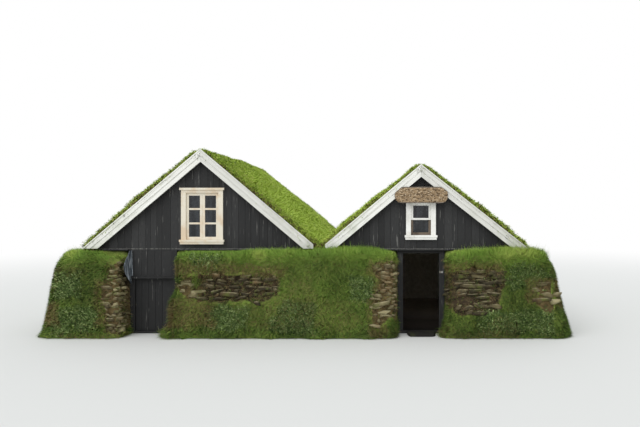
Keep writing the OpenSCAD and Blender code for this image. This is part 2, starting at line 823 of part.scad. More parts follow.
// The hanging sheet lies just clear of the left wall end
sheet_x0 = left_door_x0 - post_w + wing_cover + fit;
sheet_x1 = sheet_x0 + sheet_t;

// Sloping drip board on the face of the gable boards, given by its foot and its two ends
module drip(x0, x1, z) {
    translate([x0, front_y, z])
        rotate([90, 0, 90])
            linear_extrude(x1 - x0)
                polygon([[0, 0], [0, drip_back_h], [-drip_d, drip_t], [-drip_d, 0]]);
}

module left_drip_boards() {
    color(tarred) {
        drip(slope_x(0, -1, wall_h + 2 * drip_t, boards_low) + drip_d, left_door_x0 - post_w - fit, wall_h + fit);
        drip(left_door_x1 + post_w + fit, slope_x(0, 1, wall_h + 2 * drip_t, boards_low) - drip_d, wall_h + fit);
        drip(sheet_x1 + fit, left_door_x1 + post_w, door_drip_z);
    }
}

module right_drip_board() {
    color(tarred) drip(right_door_x0 - post_w - drip_d, right_door_x1 + post_w + 2 * drip_d, wall_h + fit);
}

// Two posts, a lintel and a threshold, with stop strips in front of the leaf where there is one
module door_frame(x0, w, h, head_h, stops) {
    color(tarred) difference() {
        translate([x0 - post_w, front_y, 0])
            cube([w + 2 * post_w, post_d, wall_h]);
        translate([x0, front_y - post_d, threshold_h])
            cube([w, 3 * post_d, h - threshold_h]);
        if (h + head_h < wall_h)
            translate([x0, front_y - post_d, h + head_h])
                cube([w, 3 * post_d, wall_h]);
    }
    if (stops)
        color(tarred) for (x = [x0 - stop_w / 2, x0 + w - stop_w / 2])
            translate([x, front_y, threshold_h / 2])
                cube([stop_w, post_d - leaf_t - leaf_gap, h - threshold_h / 2 + head_h / 2]);
}

module left_door_frame() {
    door_frame(left_door_x0, left_door_w, left_door_h, lintel_h, true);
}

module right_door_frame() {
    door_frame(right_door_x0, right_door_w, right_door_h, wall_h - right_door_h, false);
}

// Fixed boards over the left door, between its posts
module left_door_panel() {
    z0 = left_door_h + lintel_h;
    color(tarred)
        translate([left_door_x0 + fit, front_y, z0])
            cube([left_door_w - 2 * fit, gable_t, wall_h - z0 - fit]);
}

module left_door() {
    color(tarred)
        translate([left_door_x0 + leaf_gap, leaf_in_y - leaf_t, leaf_z0])
            cube([left_door_w - 2 * leaf_gap - swing_gap, leaf_t, leaf_h]);
}

// Iron straps on the inner face of the leaf, each with an eye that sits on its hook
module left_door_straps() {
    color(iron_black) for (z = hinge_levels) {
        translate([hinge_x, hinge_y, z + fit])
            cylinder(r = hinge_r, h = hinge_h);
        translate([hinge_x, leaf_in_y, z + fit])
            cube([strap_len, iron_t, hinge_h]);
    }
}

// Hooks on the inner face of the post, which carry the strap eyes
module left_door_hooks() {
    color(iron_black) for (z = hinge_levels) {
        translate([hinge_x, hinge_y, z - hinge_h])
            cylinder(r = hinge_r, h = hinge_h);
        translate([hinge_x - plate_len, leaf_in_y, z - hinge_h])
            cube([plate_len, iron_t, hinge_h]);
    }
}

// Grey sheet that hangs from the drip board: one leg on the post, one along the wall end
module left_door_sheet() {
    z1 = wall_h - fit;
    leg_z = door_drip_z + drip_back_h + fit;
    hang_y = front_y - fit;
    // The free edge bulges forward and then runs back towards the post
    free_edge = [for (i = [0 : sheet_steps])
        bend([hang_y - sheet_reach, z1], [hang_y - sheet_reach, leg_z], [hang_y - sheet_reach / 3, z1 - sheet_drop],
            i / sheet_steps)];
    color("slategray") union() {
        translate([sheet_x0, hang_y - sheet_t, leg_z])
            cube([sheet_leg_w, sheet_t, z1 - leg_z]);
        translate([sheet_x0, 0, 0])
            rotate([90, 0, 90])
                linear_extrude(sheet_t)
                    polygon(concat([[hang_y, leg_z], [hang_y, z1]], free_edge));
    }
}

// Iron plate with a staple on the post of the right doorway
module right_door_hasp() {
    plate_x = right_door_x1 + fit;
    color("silver") {
        translate([plate_x, front_y - iron_t, hasp_z - hinge_h / 2])
            cube([plate_len, iron_t, hinge_h]);
        translate([plate_x + staple_r, front_y - iron_t / 2, hasp_z])
            rotate([180, 0, 0])
                rotate_extrude(angle = 180)
                    translate([staple_r - wire_r, 0]) circle(wire_r, $fn = 16);
    }
}

// Driftwood plank on the lower bargeboards over the right window, under the edges of the upper ones.
// Both its ends are worn round, and it is cut along the roof.
module name_plank() {
    x = window_x(1);
    z = wall_h + plank_z;
    a = plank_len / 2;
    h = plank_h / 2;
    left_low = [for (i = [0 : plank_steps])
        bend([x - plank_low_len / 2, z - h], [x - a, z - h], [x - a, z], i / plank_steps)];
    left_top = [for (i = [1 : plank_steps])
        bend([x - a, z], [x - a, z + h], [x - plank_top_len / 2, z + h], i / plank_steps)];
    right_low = [for (i = [1 : plank_steps])
        bend([x + a, z], [x + a, z - h], [x + plank_low_len / 2, z - h], i / plank_steps)];
    right_top = [for (i = [0 : plank_steps])
        bend([x + plank_top_len / 2, z + h], [x + a, z + h], [x + a, z], i / plank_steps)];
    top = peak(1, barge_split - plank_clear);
    foot_z = z - plank_h;
    color("peru") translate([0, verge_front_y - barge_low_t, 0])
        rotate([90, 0, 0])
            linear_extrude(plank_t)
                intersection() {
                    polygon(concat(left_low, left_top, right_top, right_low));
                    polygon([
                        [slope_x(1, -1, foot_z, barge_split - plank_clear), foot_z],
                        top,
                        [slope_x(1, 1, foot_z, barge_split - plank_clear), foot_z],
                    ]);
                }
}

// Flat stone before the threshold of the right doorway
module doorstep() {
    x = (right_door_x0 + right_door_x1) / 2;
    a = step_len / 2;
    b = step_front_len / 2;
    left_edge = [for (i = [0 : stone_steps])
        bend([x - a, 0], [x - a, -step_d], [x - b, -step_d], i / stone_steps)];
    right_edge = [for (i = [0 : stone_steps])
        bend([x + b, -step_d], [x + a, -step_d], [x + a, 0], i / stone_steps)];
    color(stone_grey)
        translate([0, front_y - fit, 0])
            linear_extrude(step_h)
                polygon(concat(left_edge, right_edge));
}

left_front_wall();
middle_front_wall();
right_front_wall();
left_side_wall();
shared_wall();
right_side_wall();
back_wall(0);  // left_back_wall
back_wall(1);  // right_back_wall
roof_turf(0);  // left_roof_turf
roof_turf(1);  // right_roof_turf
roof_frame(0);  // left_roof_frame
roof_boards(0);  // left_roof_boards
loft_floor(0);  // left_loft_floor
gable_boards(0, left_window_w, left_window_h, left_window_z);  // left_gable_boards
back_gable(0);  // left_back_gable
upper_bargeboards(0);  // left_upper_bargeboards
lower_bargeboards(0);  // left_lower_bargeboards
back_bargeboards(0);  // left_back_bargeboards
window_frame(0, left_window_w, left_window_h, left_window_z, cream_paint);  // left_window_frame
left_casements();
left_window_glass();
left_drip_boards();
left_door_frame();
left_door_panel();
left_door();
left_door_straps();
left_door_hooks();
left_door_sheet();
roof_frame(1);  // right_roof_frame
roof_boards(1);  // right_roof_boards
loft_floor(1);  // right_loft_floor
gable_boards(1, right_window_w, right_window_h, right_window_z);  // right_gable_boards
back_gable(1);  // right_back_gable
upper_bargeboards(1);  // right_upper_bargeboards
lower_bargeboards(1);  // right_lower_bargeboards
back_bargeboards(1);  // right_back_bargeboards
window_frame(1, right_window_w, right_window_h, right_window_z, white_paint);  // right_window_frame
right_upper_sash();
right_lower_sash();
right_window_glass();
right_drip_board();
right_door_frame();
right_door_hasp();
name_plank();
doorstep();
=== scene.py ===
"""Looks of the turf house, in metres: turf, grass, field stones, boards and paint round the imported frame."""

import math

import bmesh
import bpy
import numpy as np
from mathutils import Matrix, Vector
from mathutils.bvhtree import BVHTree


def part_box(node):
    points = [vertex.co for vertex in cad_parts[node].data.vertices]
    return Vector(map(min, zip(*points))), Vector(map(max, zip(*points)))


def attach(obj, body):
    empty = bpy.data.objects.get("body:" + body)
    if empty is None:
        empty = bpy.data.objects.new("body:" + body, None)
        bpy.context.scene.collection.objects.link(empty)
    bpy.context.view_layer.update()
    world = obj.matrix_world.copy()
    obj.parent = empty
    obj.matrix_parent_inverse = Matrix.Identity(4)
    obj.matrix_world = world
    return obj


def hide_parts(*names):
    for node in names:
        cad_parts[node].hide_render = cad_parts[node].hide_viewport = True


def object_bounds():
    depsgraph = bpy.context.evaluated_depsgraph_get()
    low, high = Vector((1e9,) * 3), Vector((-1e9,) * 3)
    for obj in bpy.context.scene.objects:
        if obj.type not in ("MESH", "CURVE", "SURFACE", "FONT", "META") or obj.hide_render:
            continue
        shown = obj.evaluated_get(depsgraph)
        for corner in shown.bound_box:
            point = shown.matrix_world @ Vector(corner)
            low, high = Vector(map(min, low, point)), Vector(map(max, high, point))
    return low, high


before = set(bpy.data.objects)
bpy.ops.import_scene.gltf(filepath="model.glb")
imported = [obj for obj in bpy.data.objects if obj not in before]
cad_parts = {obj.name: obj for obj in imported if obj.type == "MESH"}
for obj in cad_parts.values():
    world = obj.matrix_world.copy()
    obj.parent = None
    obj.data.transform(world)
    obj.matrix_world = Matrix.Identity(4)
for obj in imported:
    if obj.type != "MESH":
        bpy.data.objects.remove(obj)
cad_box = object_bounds()

# Places read from the frame


def low(node):
    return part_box(node)[0]


def high(node):
    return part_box(node)[1]


def corners_of(node):
    return [v.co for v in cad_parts[node].data.vertices]


def apex(node):
    """Place along X and height of the highest point of a node."""
    top = max(corners_of(node), key=lambda p: p.z)
    return top.x, top.z


WALLS = [
    "left_front_wall", "middle_front_wall", "right_front_wall", "left_side_wall",
    "shared_wall", "right_side_wall", "left_back_wall", "right_back_wall",
]
FRONT_Y = low("left_gable_boards").y
BACK_Y = high("left_back_gable").y
BOARD_T = high("left_gable_boards").y - FRONT_Y
WALL_H = high("left_side_wall").z
FOOT_FRONT_Y = low("middle_front_wall").y
VERGE = -low("left_roof_turf").y
VALLEY_X = high("left_roof_turf").x
EAVE_X0 = low("left_roof_turf").x
EAVE_X1 = high("right_roof_turf").x
PANEL_X = low("left_door_panel").x

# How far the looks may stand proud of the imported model
SIDE_SHARE = 0.014
TOP_SHARE = 0.026
GROUND_GAP = 0.003
size = np.array(cad_box[1] - cad_box[0])
REACH_LOW = np.array(cad_box[0]) - SIDE_SHARE * size
REACH_LOW[2] = GROUND_GAP
REACH_HIGH = np.array(cad_box[1]) + size * [SIDE_SHARE, SIDE_SHARE, TOP_SHARE]

# Camera: the photograph's frame is 640 pixels wide, and lines along the house meet in one column of it
PHOTO_W = 640
VANISHING_COLUMN = 387
CAMERA_FAR = 300
LENS_MM = 35
SENSOR_MM = 36
EYE_X = 1.745
EYE_H = 2.6
EYE_DISTANCE = 13.5


def new_object(name, data):
    made = bpy.data.objects.new(name, data)
    bpy.context.scene.collection.objects.link(made)
    return made


def set_up(thing, **settings):
    for key, value in settings.items():
        setattr(thing, key, value)
    return thing


def make_camera():
    shift = (PHOTO_W / 2 - VANISHING_COLUMN) / PHOTO_W
    data = bpy.data.cameras.new("camera")
    set_up(data, lens=LENS_MM, sensor_width=SENSOR_MM, shift_x=shift, clip_end=CAMERA_FAR)
    camera = new_object("camera", data)
    set_up(camera, location=(EYE_X, FRONT_Y - EYE_DISTANCE, EYE_H), rotation_euler=(math.pi / 2, 0, 0))
    bpy.context.scene.camera = camera


# Repeatable noise on points
CELL_PRIMES = (73856093, 19349663, 83492791)
SEED_PRIME = 2654435761
MIXING = ((15, 2246822519), (13, 3266489917), (16, 1))
LOW_BITS = 0xFFFFFFFF


def cell_random(cells, seed):
    """Number from 0 to 1 for each cell of a grid."""
    h = np.bitwise_xor.reduce(cells.astype(np.int64) * CELL_PRIMES, axis=1) ^ (seed * SEED_PRIME)
    h &= LOW_BITS
    for shift, factor in MIXING:
        h = ((h ^ (h >> shift)) * factor) & LOW_BITS
    return h / (LOW_BITS + 1)


def noise(points, feature, seed):
    """Smooth noise from -1 to 1, with lumps of the given size in metres."""
    scaled = points / feature
    base = np.floor(scaled)
    t = scaled - base
    t = t * t * (3 - 2 * t)
    total = np.zeros(len(points))
    for corner in np.ndindex(2, 2, 2):
        weight = np.prod(np.where(corner, t, 1 - t), axis=1)
        total += weight * cell_random(base + np.array(corner), seed)
    return 2 * total - 1


def ease(x, start, end):
    """0 before start and 1 after end, with a smooth rise between them."""
    t = np.clip((x - start) / (end - start), 0, 1)
    return t * t * (3 - 2 * t)


def unit(v):
    return v / np.maximum(np.linalg.norm(v, axis=1, keepdims=True), 1e-9)


# Materials. Colours are written as they are seen, from 0 to 255.


def rgb(*colour):
    """A colour as the shader takes it."""
    shares = [c / 255 for c in colour]
    return (*[s / 12.92 if s <= 0.04045 else ((s + 0.055) / 1.055) ** 2.4 for s in shares], 1)


class Nodes:
    """The shader nodes of a material or of the world."""

    def __init__(self, owner):
        owner.use_nodes = True
        self.tree = owner.node_tree

    def feed(self, node, inputs):
        """Give a node's sockets their values, or the outputs that feed them."""
        for key, value in dict(inputs).items():
            socket = node.inputs[key]
            if isinstance(value, bpy.types.NodeSocket):
                self.tree.links.new(value, socket)
            else:
                socket.default_value = rgb(*value) if socket.type == "RGBA" else value

    def node(self, kind, inputs=(), out=0, **settings):
        """One output of a new node."""
        made = set_up(self.tree.nodes.new("ShaderNode" + kind), **settings)
        self.feed(made, inputs)
        return made.outputs[out]

    def math(self, operation, a, b=0.0, c=0.0):
        return self.node("Math", {0: a, 1: b, 2: c}, operation=operation)

    def times(self, a, b):
        return self.math("MULTIPLY", a, b)

    def ray(self, kind):
        """1 for the rays of a kind and 0 for others."""
        return self.node("LightPath", out=f"Is {kind} Ray")


finishes = {}


class Finish(Nodes):
    """A material on one Principled shader, patterned in the piece's own coordinates."""

    def __init__(self, name, roughness, specular, metallic=0.0):
        self.material = finishes[name] = bpy.data.materials.new(name)
        super().__init__(self.material)
        self.shader = self.tree.nodes["Principled BSDF"]
        inputs = {"Roughness": roughness, "Specular IOR Level": specular, "Metallic": metallic}
        self.feed(self.shader, inputs)
        self.where = self.node("TexCoord", out="Object")
        self.bump = {}

    def axes(self):
        return [self.node("SeparateXYZ", {0: self.where}, axis) for axis in range(3)]

    def noise(self, per_metre, detail, rough=0.6, stretch=(1, 1, 1), offset=(0, 0, 0), where=None):
        if where is None:
            scaled = self.node("VectorMath", {0: self.where, 1: stretch}, operation="MULTIPLY")
            where = self.node("VectorMath", {0: scaled, 1: offset}, operation="ADD")
        inputs = {"Vector": where, "Scale": per_metre, "Detail": detail, "Roughness": rough}
        return self.node("TexNoise", inputs, "Fac")

    def attribute(self, name):
        return self.node("Attribute", out="Fac", attribute_name=name)

    def spread(self, value, start, end, least=0.0, most=1.0):
        """value from start to end, mapped to least to most and held there."""
        inputs = {"Value": value, "From Min": start, "From Max": end, "To Min": least, "To Max": most}
        return self.node("MapRange", inputs, "Result", interpolation_type="SMOOTHSTEP")

    def band(self, value, start, full, last, end):
        """1 where value lies from full to last, and 0 before start and after end."""
        return self.times(self.spread(value, start, full), self.spread(value, end, last))

    def ramp(self, value, places, colours):
        colour = self.node("ValToRGB", {"Fac": value})
        elements = colour.node.color_ramp.elements
        while len(elements) < len(places):
            elements.new(0.5)
        for element, place, shade in zip(elements, places, colours):
            set_up(element, position=place, color=rgb(*shade))
        return colour

    def mix(self, share, a, b, blend="MIX"):
        return self.node("Mix", {"Factor": share, 6: a, 7: b}, 2, data_type="RGBA", blend_type=blend)

    def shaded(self, colour, grey):
        """A colour darkened by a grey value."""
        return self.mix(1.0, colour, self.node("CombineColor", {0: grey, 1: grey, 2: grey}), "MULTIPLY")

    def relief(self, height, depth):
        """Bump of the given depth in metres, on top of any earlier relief."""
        inputs = {"Height": height, "Distance": depth, "Strength": 1.0, **self.bump}
        self.bump = {"Normal": self.node("Bump", inputs)}
        self.feed(self.shader, self.bump)

    def done(self, colour, mask=None, smooth=0.0, rough=0.0):
        """The material with its colour, and with roughness from smooth to rough by a mask."""
        self.feed(self.shader, {"Base Color": colour})
        if mask is not None:
            self.feed(self.shader, {"Roughness": self.spread(mask, 0.3, 0.7, smooth, rough)})
        return self.material


DARK_EARTH = ((38, 32, 25), (66, 55, 40), (98, 84, 60))
PALE_EARTH = ((62, 52, 37), (104, 88, 58), (142, 124, 84))
DUSTY_EARTH = ((190, 178, 158), (222, 212, 194))
SHADOW = (16, 14, 11)
ROOT_BROWN = (48, 40, 28)


def soil_material(name, *moss):
    """Body of the turf: moss outside, bare brown earth between stones, painted shadow in a few dark gaps, dry
    pale earth in the rooms.
    """
    f = Finish(name, 0.95, 0.15)
    lumps = f.noise(9, 6)
    roots = f.noise(60, 5, 0.65)
    green = f.ramp(lumps, (0.3, 0.5, 0.72), moss)
    dark, pale = (f.ramp(lumps, (0.3, 0.52, 0.75), earth) for earth in (DARK_EARTH, PALE_EARTH))
    earth = f.mix(f.spread(f.attribute("pale"), 0.3, 0.7), dark, pale)
    colour = f.mix(f.spread(f.attribute("bare"), 0.25, 0.6), green, earth)
    # Painted shadow: the soil turns near black where the attribute deep is set.
    colour = f.mix(f.attribute("deep"), colour, SHADOW)
    colour = f.mix(f.attribute("indoors"), colour, f.ramp(lumps, (0.3, 0.7), DUSTY_EARTH))
    f.relief(lumps, 0.02)
    f.relief(roots, 0.008)
    f.done(f.mix(f.spread(roots, 0.4, 0.7, 0.0, 0.2), colour, ROOT_BROWN))


ROOT_SHADE = 0.9


def grass_material(name, green, **others):
    """Blades: darker at the root, each with its own tone, some of them leaves or dry."""
    f = Finish(name, 0.6, 0.2)
    tone = f.attribute("tone")
    colour = f.ramp(tone, (0.0, 0.35, 0.7, 1.0), green)
    for kind, colours in others.items():
        colour = f.mix(f.attribute(kind), colour, f.ramp(tone, (0.0, 0.5, 1.0), colours))
    f.done(f.shaded(colour, f.spread(f.attribute("tip"), 0.0, 0.8, ROOT_SHADE, 1.0)))


RUST = (118, 90, 60)
LICHEN = (160, 156, 122)
STONE_MOSS = (92, 100, 48)
SUNNY_EDGE = (168, 158, 124)


def stone_material(name, moss_share, colours):
    """Dark basalt and paler weathered stones, with rust, lichen and moss, and a painted highlight on the top
    of each.
    """
    f = Finish(name, 0.9, 0.2)
    own = f.attribute("tone")
    tone = f.math("MULTIPLY_ADD", f.noise(8, 5), 0.5, f.times(own, 0.62))
    colour = f.ramp(tone, (0.2, 0.42, 0.62, 0.85), colours)
    weathered = f.spread(own, 0.05, 0.25)
    rust = f.spread(f.noise(3.1, 3, 0.5, offset=(7, 3, 1)), 0.52, 0.68, 0.0, 0.55)
    colour = f.mix(f.times(rust, weathered), colour, RUST)
    lichen = f.spread(f.noise(26, 3, offset=(2, 9, 4)), 0.62, 0.7, 0.0, 0.4)
    colour = f.mix(f.times(lichen, weathered), colour, LICHEN)
    moss = f.spread(f.noise(5, 4, offset=(5, 5, 5)), 0.52, 0.68, 0.0, moss_share)
    colour = f.mix(moss, colour, STONE_MOSS)
    # Painted highlight: the upper side of each stone is paler in patches, as if it caught the sky.
    highlight_patches = f.spread(f.noise(14, 3, 0.55), 0.4, 0.6, 0.2, 0.75)
    colour = f.mix(f.times(f.spread(f.attribute("upper"), 0.3, 0.95), highlight_patches), colour, SUNNY_EDGE)
    f.relief(f.noise(30, 6, 0.65), 0.02)
    f.relief(f.noise(150, 4), 0.004)
    f.done(colour)


def tar_material():
    """Tarred boards, with pale worn streaks along the grain and a slight tone for each board."""
    f = Finish("tarred_boards", 0.74, 0.3)
    grain = f.noise(9, 6, stretch=(14, 14, 1))
    fine = f.noise(60, 4, stretch=(6, 6, 0.5))
    worn = f.noise(5, 3, 0.5, stretch=(9, 3, 0.45), offset=(3, 0, 8))
    tone = f.math("MULTIPLY_ADD", grain, 0.75, f.times(f.attribute("tone"), 0.22))
    colour = f.ramp(tone, (0.25, 0.5, 0.8), ((32, 32, 32), (45, 45, 45), (66, 66, 65)))
    colour = f.mix(f.spread(worn, 0.65, 0.73, 0.0, 0.6), colour, (130, 129, 124))
    x, _, z = f.axes()
    drip_edge = f.band(z, WALL_H + 0.02, WALL_H + 0.03, WALL_H + 0.043, WALL_H + 0.046)
    colour = f.mix(f.times(drip_edge, f.spread(worn, 0.4, 0.6, 0.08, 0.6)), colour, (132, 131, 125))
    # Painted shadow: a near-black band on the boards just under the drip boards of the right bay.
    under = f.band(z, WALL_H - 0.1, WALL_H - 0.02, WALL_H - 0.001, WALL_H + 0.004)
    right_bay = f.spread(x, VALLEY_X, VALLEY_X + 0.1, 0.0, 0.85)
    colour = f.mix(f.times(under, right_bay), colour, (12, 12, 12))
    f.relief(grain, 0.004)
    f.relief(fine, 0.0012)
    f.done(colour, grain, 0.64, 0.86)


RIGHT_SLOPE_WEAR = 0.36


def white_board_material(side):
    """Chalky white paint, greyer on the right slope, with wear along the grain and green near the feet."""
    f = Finish(side + "_white_boards", 0.66, 0.3)
    peak_x = apex(side + "_upper_bargeboards")[0]
    a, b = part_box(side + "_gable_boards")
    pitch = math.atan2(apex(side + "_gable_boards")[1] - a.z, (b.x - a.x) / 2)
    x, y, z = f.axes()
    from_peak = f.math("SUBTRACT", x, peak_x)
    away = f.math("ABSOLUTE", from_peak)
    along = f.math("SUBTRACT", f.times(away, math.cos(pitch)), f.times(z, math.sin(pitch)))
    across = f.math("ADD", f.times(away, math.sin(pitch)), f.times(z, math.cos(pitch)))
    other = f.math("ADD", y, f.math("SIGN", from_peak))

    def grain(along_scale, across_scale, detail):
        place = {"X": f.times(along, along_scale), "Y": other, "Z": f.times(across, across_scale)}
        return f.noise(1, detail, where=f.node("CombineXYZ", place))

    streaks = grain(1.6, 40, 5)
    colour = f.mix(f.spread(streaks, 0.35, 0.7), (244, 243, 237), (226, 225, 217))
    colour = f.mix(f.spread(grain(2.4, 55, 3), 0.58, 0.7, 0.0, 0.5), colour, (172, 170, 160))
    low_end = f.spread(z, WALL_H, WALL_H + 1.1, 0.6, 0.05)
    colour = f.mix(f.times(low_end, f.spread(f.noise(3.2, 4), 0.35, 0.65)), colour, (178, 184, 158))
    right_slope = f.spread(x, peak_x - 0.01, peak_x + 0.01, 0.0, RIGHT_SLOPE_WEAR)
    colour = f.mix(right_slope, colour, (176, 174, 166))
    f.relief(streaks, 0.002)
    f.relief(grain(9, 260, 4), 0.0008)
    f.done(colour, streaks, 0.55, 0.8)


def window_paint_material(name, clean, stained, worn):
    f = Finish(name, 0.5, 0.35)
    grain = f.noise(20, 5, stretch=(4, 4, 1))
    colour = f.mix(f.spread(f.noise(4, 4), 0.4, 0.68), clean, stained)
    colour = f.mix(f.spread(f.noise(38, 3, stretch=(3, 3, 1)), 0.64, 0.72, 0.0, 0.6), colour, worn)
    f.relief(grain, 0.001)
    f.done(colour, grain, 0.42, 0.6)


def raw_wood_material():
    f = Finish("aged_wood", 0.8, 0.25)
    grain = f.noise(9, 6, stretch=(6, 0.7, 6))
    f.relief(grain, 0.002)
    colour = f.ramp(grain, (0.3, 0.5, 0.72), ((70, 54, 38), (112, 90, 64), (146, 120, 88)))
    f.done(colour, grain, 0.7, 0.9)


def driftwood_material():
    """Worn, mottled brown face with greyed rims."""
    f = Finish("driftwood", 0.85, 0.2)
    grain = f.noise(7, 7, 0.7, stretch=(1, 4, 6))
    mottle = f.noise(24, 4, 0.7, stretch=(0.8, 1, 1.5), offset=(4, 1, 2))
    flecks = f.noise(30, 3, stretch=(0.8, 1, 1.3), offset=(9, 4, 6))
    face = f.ramp(grain, (0.3, 0.5, 0.72), ((110, 90, 66), (150, 126, 96), (182, 158, 126)))
    face = f.mix(f.spread(mottle, 0.49, 0.57, 0.0, 0.9), face, (74, 58, 42))
    face = f.mix(f.spread(flecks, 0.55, 0.62, 0.0, 0.75), face, (210, 192, 164))
    rim = f.ramp(grain, (0.3, 0.7), ((92, 84, 74), (150, 138, 124)))
    f.relief(grain, 0.006)
    f.relief(mottle, 0.004)
    f.done(f.mix(f.spread(f.attribute("rim"), 0.35, 0.85), face, rim))


def glass_material():
    """Old panes, a little uneven, with a grey-blue cast."""
    f = Finish("old_glass", 0.04, 0.5)
    f.feed(f.shader, {"Transmission Weight": 0.8, "IOR": 1.45})
    waves = f.noise(5, 2, 0.5, stretch=(2.4, 1, 0.5))
    f.relief(waves, 0.0005)
    f.done(f.mix(f.spread(waves, 0.35, 0.65), (54, 58, 62), (94, 100, 106)))


def iron_material(name, base, rusty, roughness, metallic):
    f = Finish(name, roughness, 0.4, metallic)
    pits = f.noise(60, 5)
    f.relief(pits, 0.001)
    colour = f.mix(f.spread(f.noise(14, 4), 0.45, 0.65), base, rusty)
    f.done(colour, pits, roughness - 0.12, roughness + 0.12)


def felt_material():
    """Blue-grey roofing felt, paler in long streaks that are partly dusty and partly painted highlights on its
    folds.
    """
    f = Finish("grey_felt", 0.75, 0.3)
    dust_and_highlight = f.noise(9, 5, 0.65, stretch=(3, 3, 0.5))
    f.relief(f.noise(220, 3), 0.0008)
    f.relief(dust_and_highlight, 0.004)
    # Painted highlight: the pale streaks stand partly for light on the folds, and partly for dusty felt.
    colour = f.ramp(dust_and_highlight, (0.3, 0.5, 0.66), ((44, 49, 54), (84, 91, 98), (164, 170, 174)))
    f.done(colour, dust_and_highlight, 0.65, 0.85)


# Meshes


def add_piece(name, mesh, finish, replaces=(), body="house"):
    mesh.materials.clear()
    mesh.materials.append(finishes[finish])
    piece = new_object(name, mesh)
    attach(piece, body)
    if replaces:
        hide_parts(*replaces)
    return piece


def set_values(mesh, **values):
    """One number for each point of a mesh in each named attribute."""
    for name, numbers in values.items():
        made = mesh.attributes.new(name, "FLOAT", "POINT")
        made.data.foreach_set("value", np.asarray(numbers, np.float32))


def triangle_mesh(name, points, triangles, **values):
    mesh = bpy.data.meshes.new(name)
    mesh.vertices.add(len(points))
    mesh.vertices.foreach_set("co", np.asarray(points, np.float32).ravel())
    mesh.loops.add(3 * len(triangles))
    mesh.loops.foreach_set("vertex_index", np.asarray(triangles, np.int32).ravel())
    mesh.polygons.add(len(triangles))
    mesh.polygons.foreach_set("loop_start", np.arange(0, 3 * len(triangles), 3, dtype=np.int32))
    set_values(mesh, **values)
    mesh.update(calc_edges=True)
    return mesh


def vectors(items, key):
    """Array of the places or normals of a mesh's points."""
    out = np.zeros(len(items) * 3, np.float32)
    items.foreach_get(key, out)
    return out.reshape(-1, 3).astype(float)


def remeshed(name, nodes, voxel):
    """One closed mesh with even faces round the solids of some nodes, with its points and their normals."""
    joined = bmesh.new()
    for node in nodes:
        joined.from_mesh(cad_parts[node].data)
    bmesh.ops.remove_doubles(joined, verts=joined.verts, dist=1e-5)
    mesh = bpy.data.meshes.new(name)
    joined.to_mesh(mesh)
    joined.free()
    source = new_object(name, mesh)
    set_up(source.modifiers.new("even", "REMESH"), mode="VOXEL", voxel_size=voxel)
    made = bpy.data.meshes.new_from_object(source.evaluated_get(bpy.context.evaluated_depsgraph_get()))
    bpy.data.objects.remove(source)
    bpy.data.meshes.remove(mesh)
    made.name = name
    return made, vectors(made.vertices, "co"), vectors(made.vertex_normals, "vector")


def shade_smooth(mesh):
    mesh.polygons.foreach_set("use_smooth", [True] * len(mesh.polygons))


def add_skin(name, mesh, points, finish, nodes, **values):
    """The piece of a remeshed skin whose points have moved."""
    mesh.vertices.foreach_set("co", points.astype(np.float32).ravel())
    mesh.update()
    set_values(mesh, **values)
    shade_smooth(mesh)
    return add_piece(name, mesh, finish, nodes)


def paint_node(node, finish, width):
    """Finish of a CAD node that stays, with small bevels of the given width on its sharp edges."""
    piece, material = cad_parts[node], finishes[finish]
    if piece.data.materials:
        piece.data.materials[0] = material
    else:
        piece.data.materials.append(material)
    if width:
        set_up(piece.modifiers.new("weld", "WELD"), merge_threshold=1e-5)
        set_up(piece.modifiers.new("bevel", "BEVEL"), width=width, segments=2, limit_method="ANGLE",
               angle_limit=math.radians(32), harden_normals=False)


# Turf bodies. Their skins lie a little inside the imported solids, so that the grass ends about at them.
WALL_VOXEL = 0.08
ROOF_VOXEL = 0.1
GRASS_DEPTH = 0.045
RECESS = 0.03
PATCH_EDGE = 0.06
# Stony patches on the front: low left and high right corner in X and Z, how pale the stones are, and
# how large they are
STONY = [
    (-4.16, 0.1, -3.70, 1.52, 0.6, 1.0),
    (-2.84, 0.94, -2.38, 1.22, 0.75, 1.0),
    (-2.2, 0.8, -0.46, 1.27, 0.2, 1.0),
    (1.54, 0.36, 2.10, 1.5, 0.62, 0.9),
    (2.7, 0.58, 4.17, 1.38, 0.22, 1.2),
    (4.86, 0.62, 5.22, 1.14, 0.76, 1.35),
]
# How far round a patch its kind of stone reaches, and the kind of stone elsewhere
KIND_REACH = 0.2
ELSEWHERE = (0.5, 1.0)
# Where dead brown grass hangs over the stones, and where low leafy plants grow, placed the same way
DEAD = [
    (-4.2, 1.3, -3.75, 1.72), (-2.8, 1.2, -1.4, 1.66), (-1.6, 1.22, -0.35, 1.5), (-4.35, 0.2, -4.0, 1.2),
    (1.35, 1.3, 2.0, 1.66), (2.95, 1.3, 4.2, 1.62), (4.6, 0.7, 5.35, 1.25), (-2.8, 0.2, -1.9, 0.85),
    (-5.5, 0.3, -5.1, 0.75), (1.45, 0.1, 1.75, 1.3),
]
LEAFY = [
    (-2.4, 1.3, -1.75, 1.72), (-5.3, 0.8, -4.7, 1.35), (-5.2, 0.1, -4.2, 0.6), (-2.2, 0.2, -1.2, 0.6),
    (-0.6, 0.15, 0.3, 0.75), (1.0, 0.85, 1.5, 1.25), (3.7, 0.1, 5.2, 0.6), (4.3, 0.95, 5.2, 1.5),
    (3.5, 0.95, 4.1, 1.2),
]


def outside(points):
    """Distance outside the upright block that the roofs and gables cover."""
    x, y, _ = points.T
    return np.maximum.reduce([FRONT_Y - y, y - BACK_Y, EAVE_X0 - x, x - EAVE_X1])


def on_front(points):
    return points[:, 1] < FRONT_Y


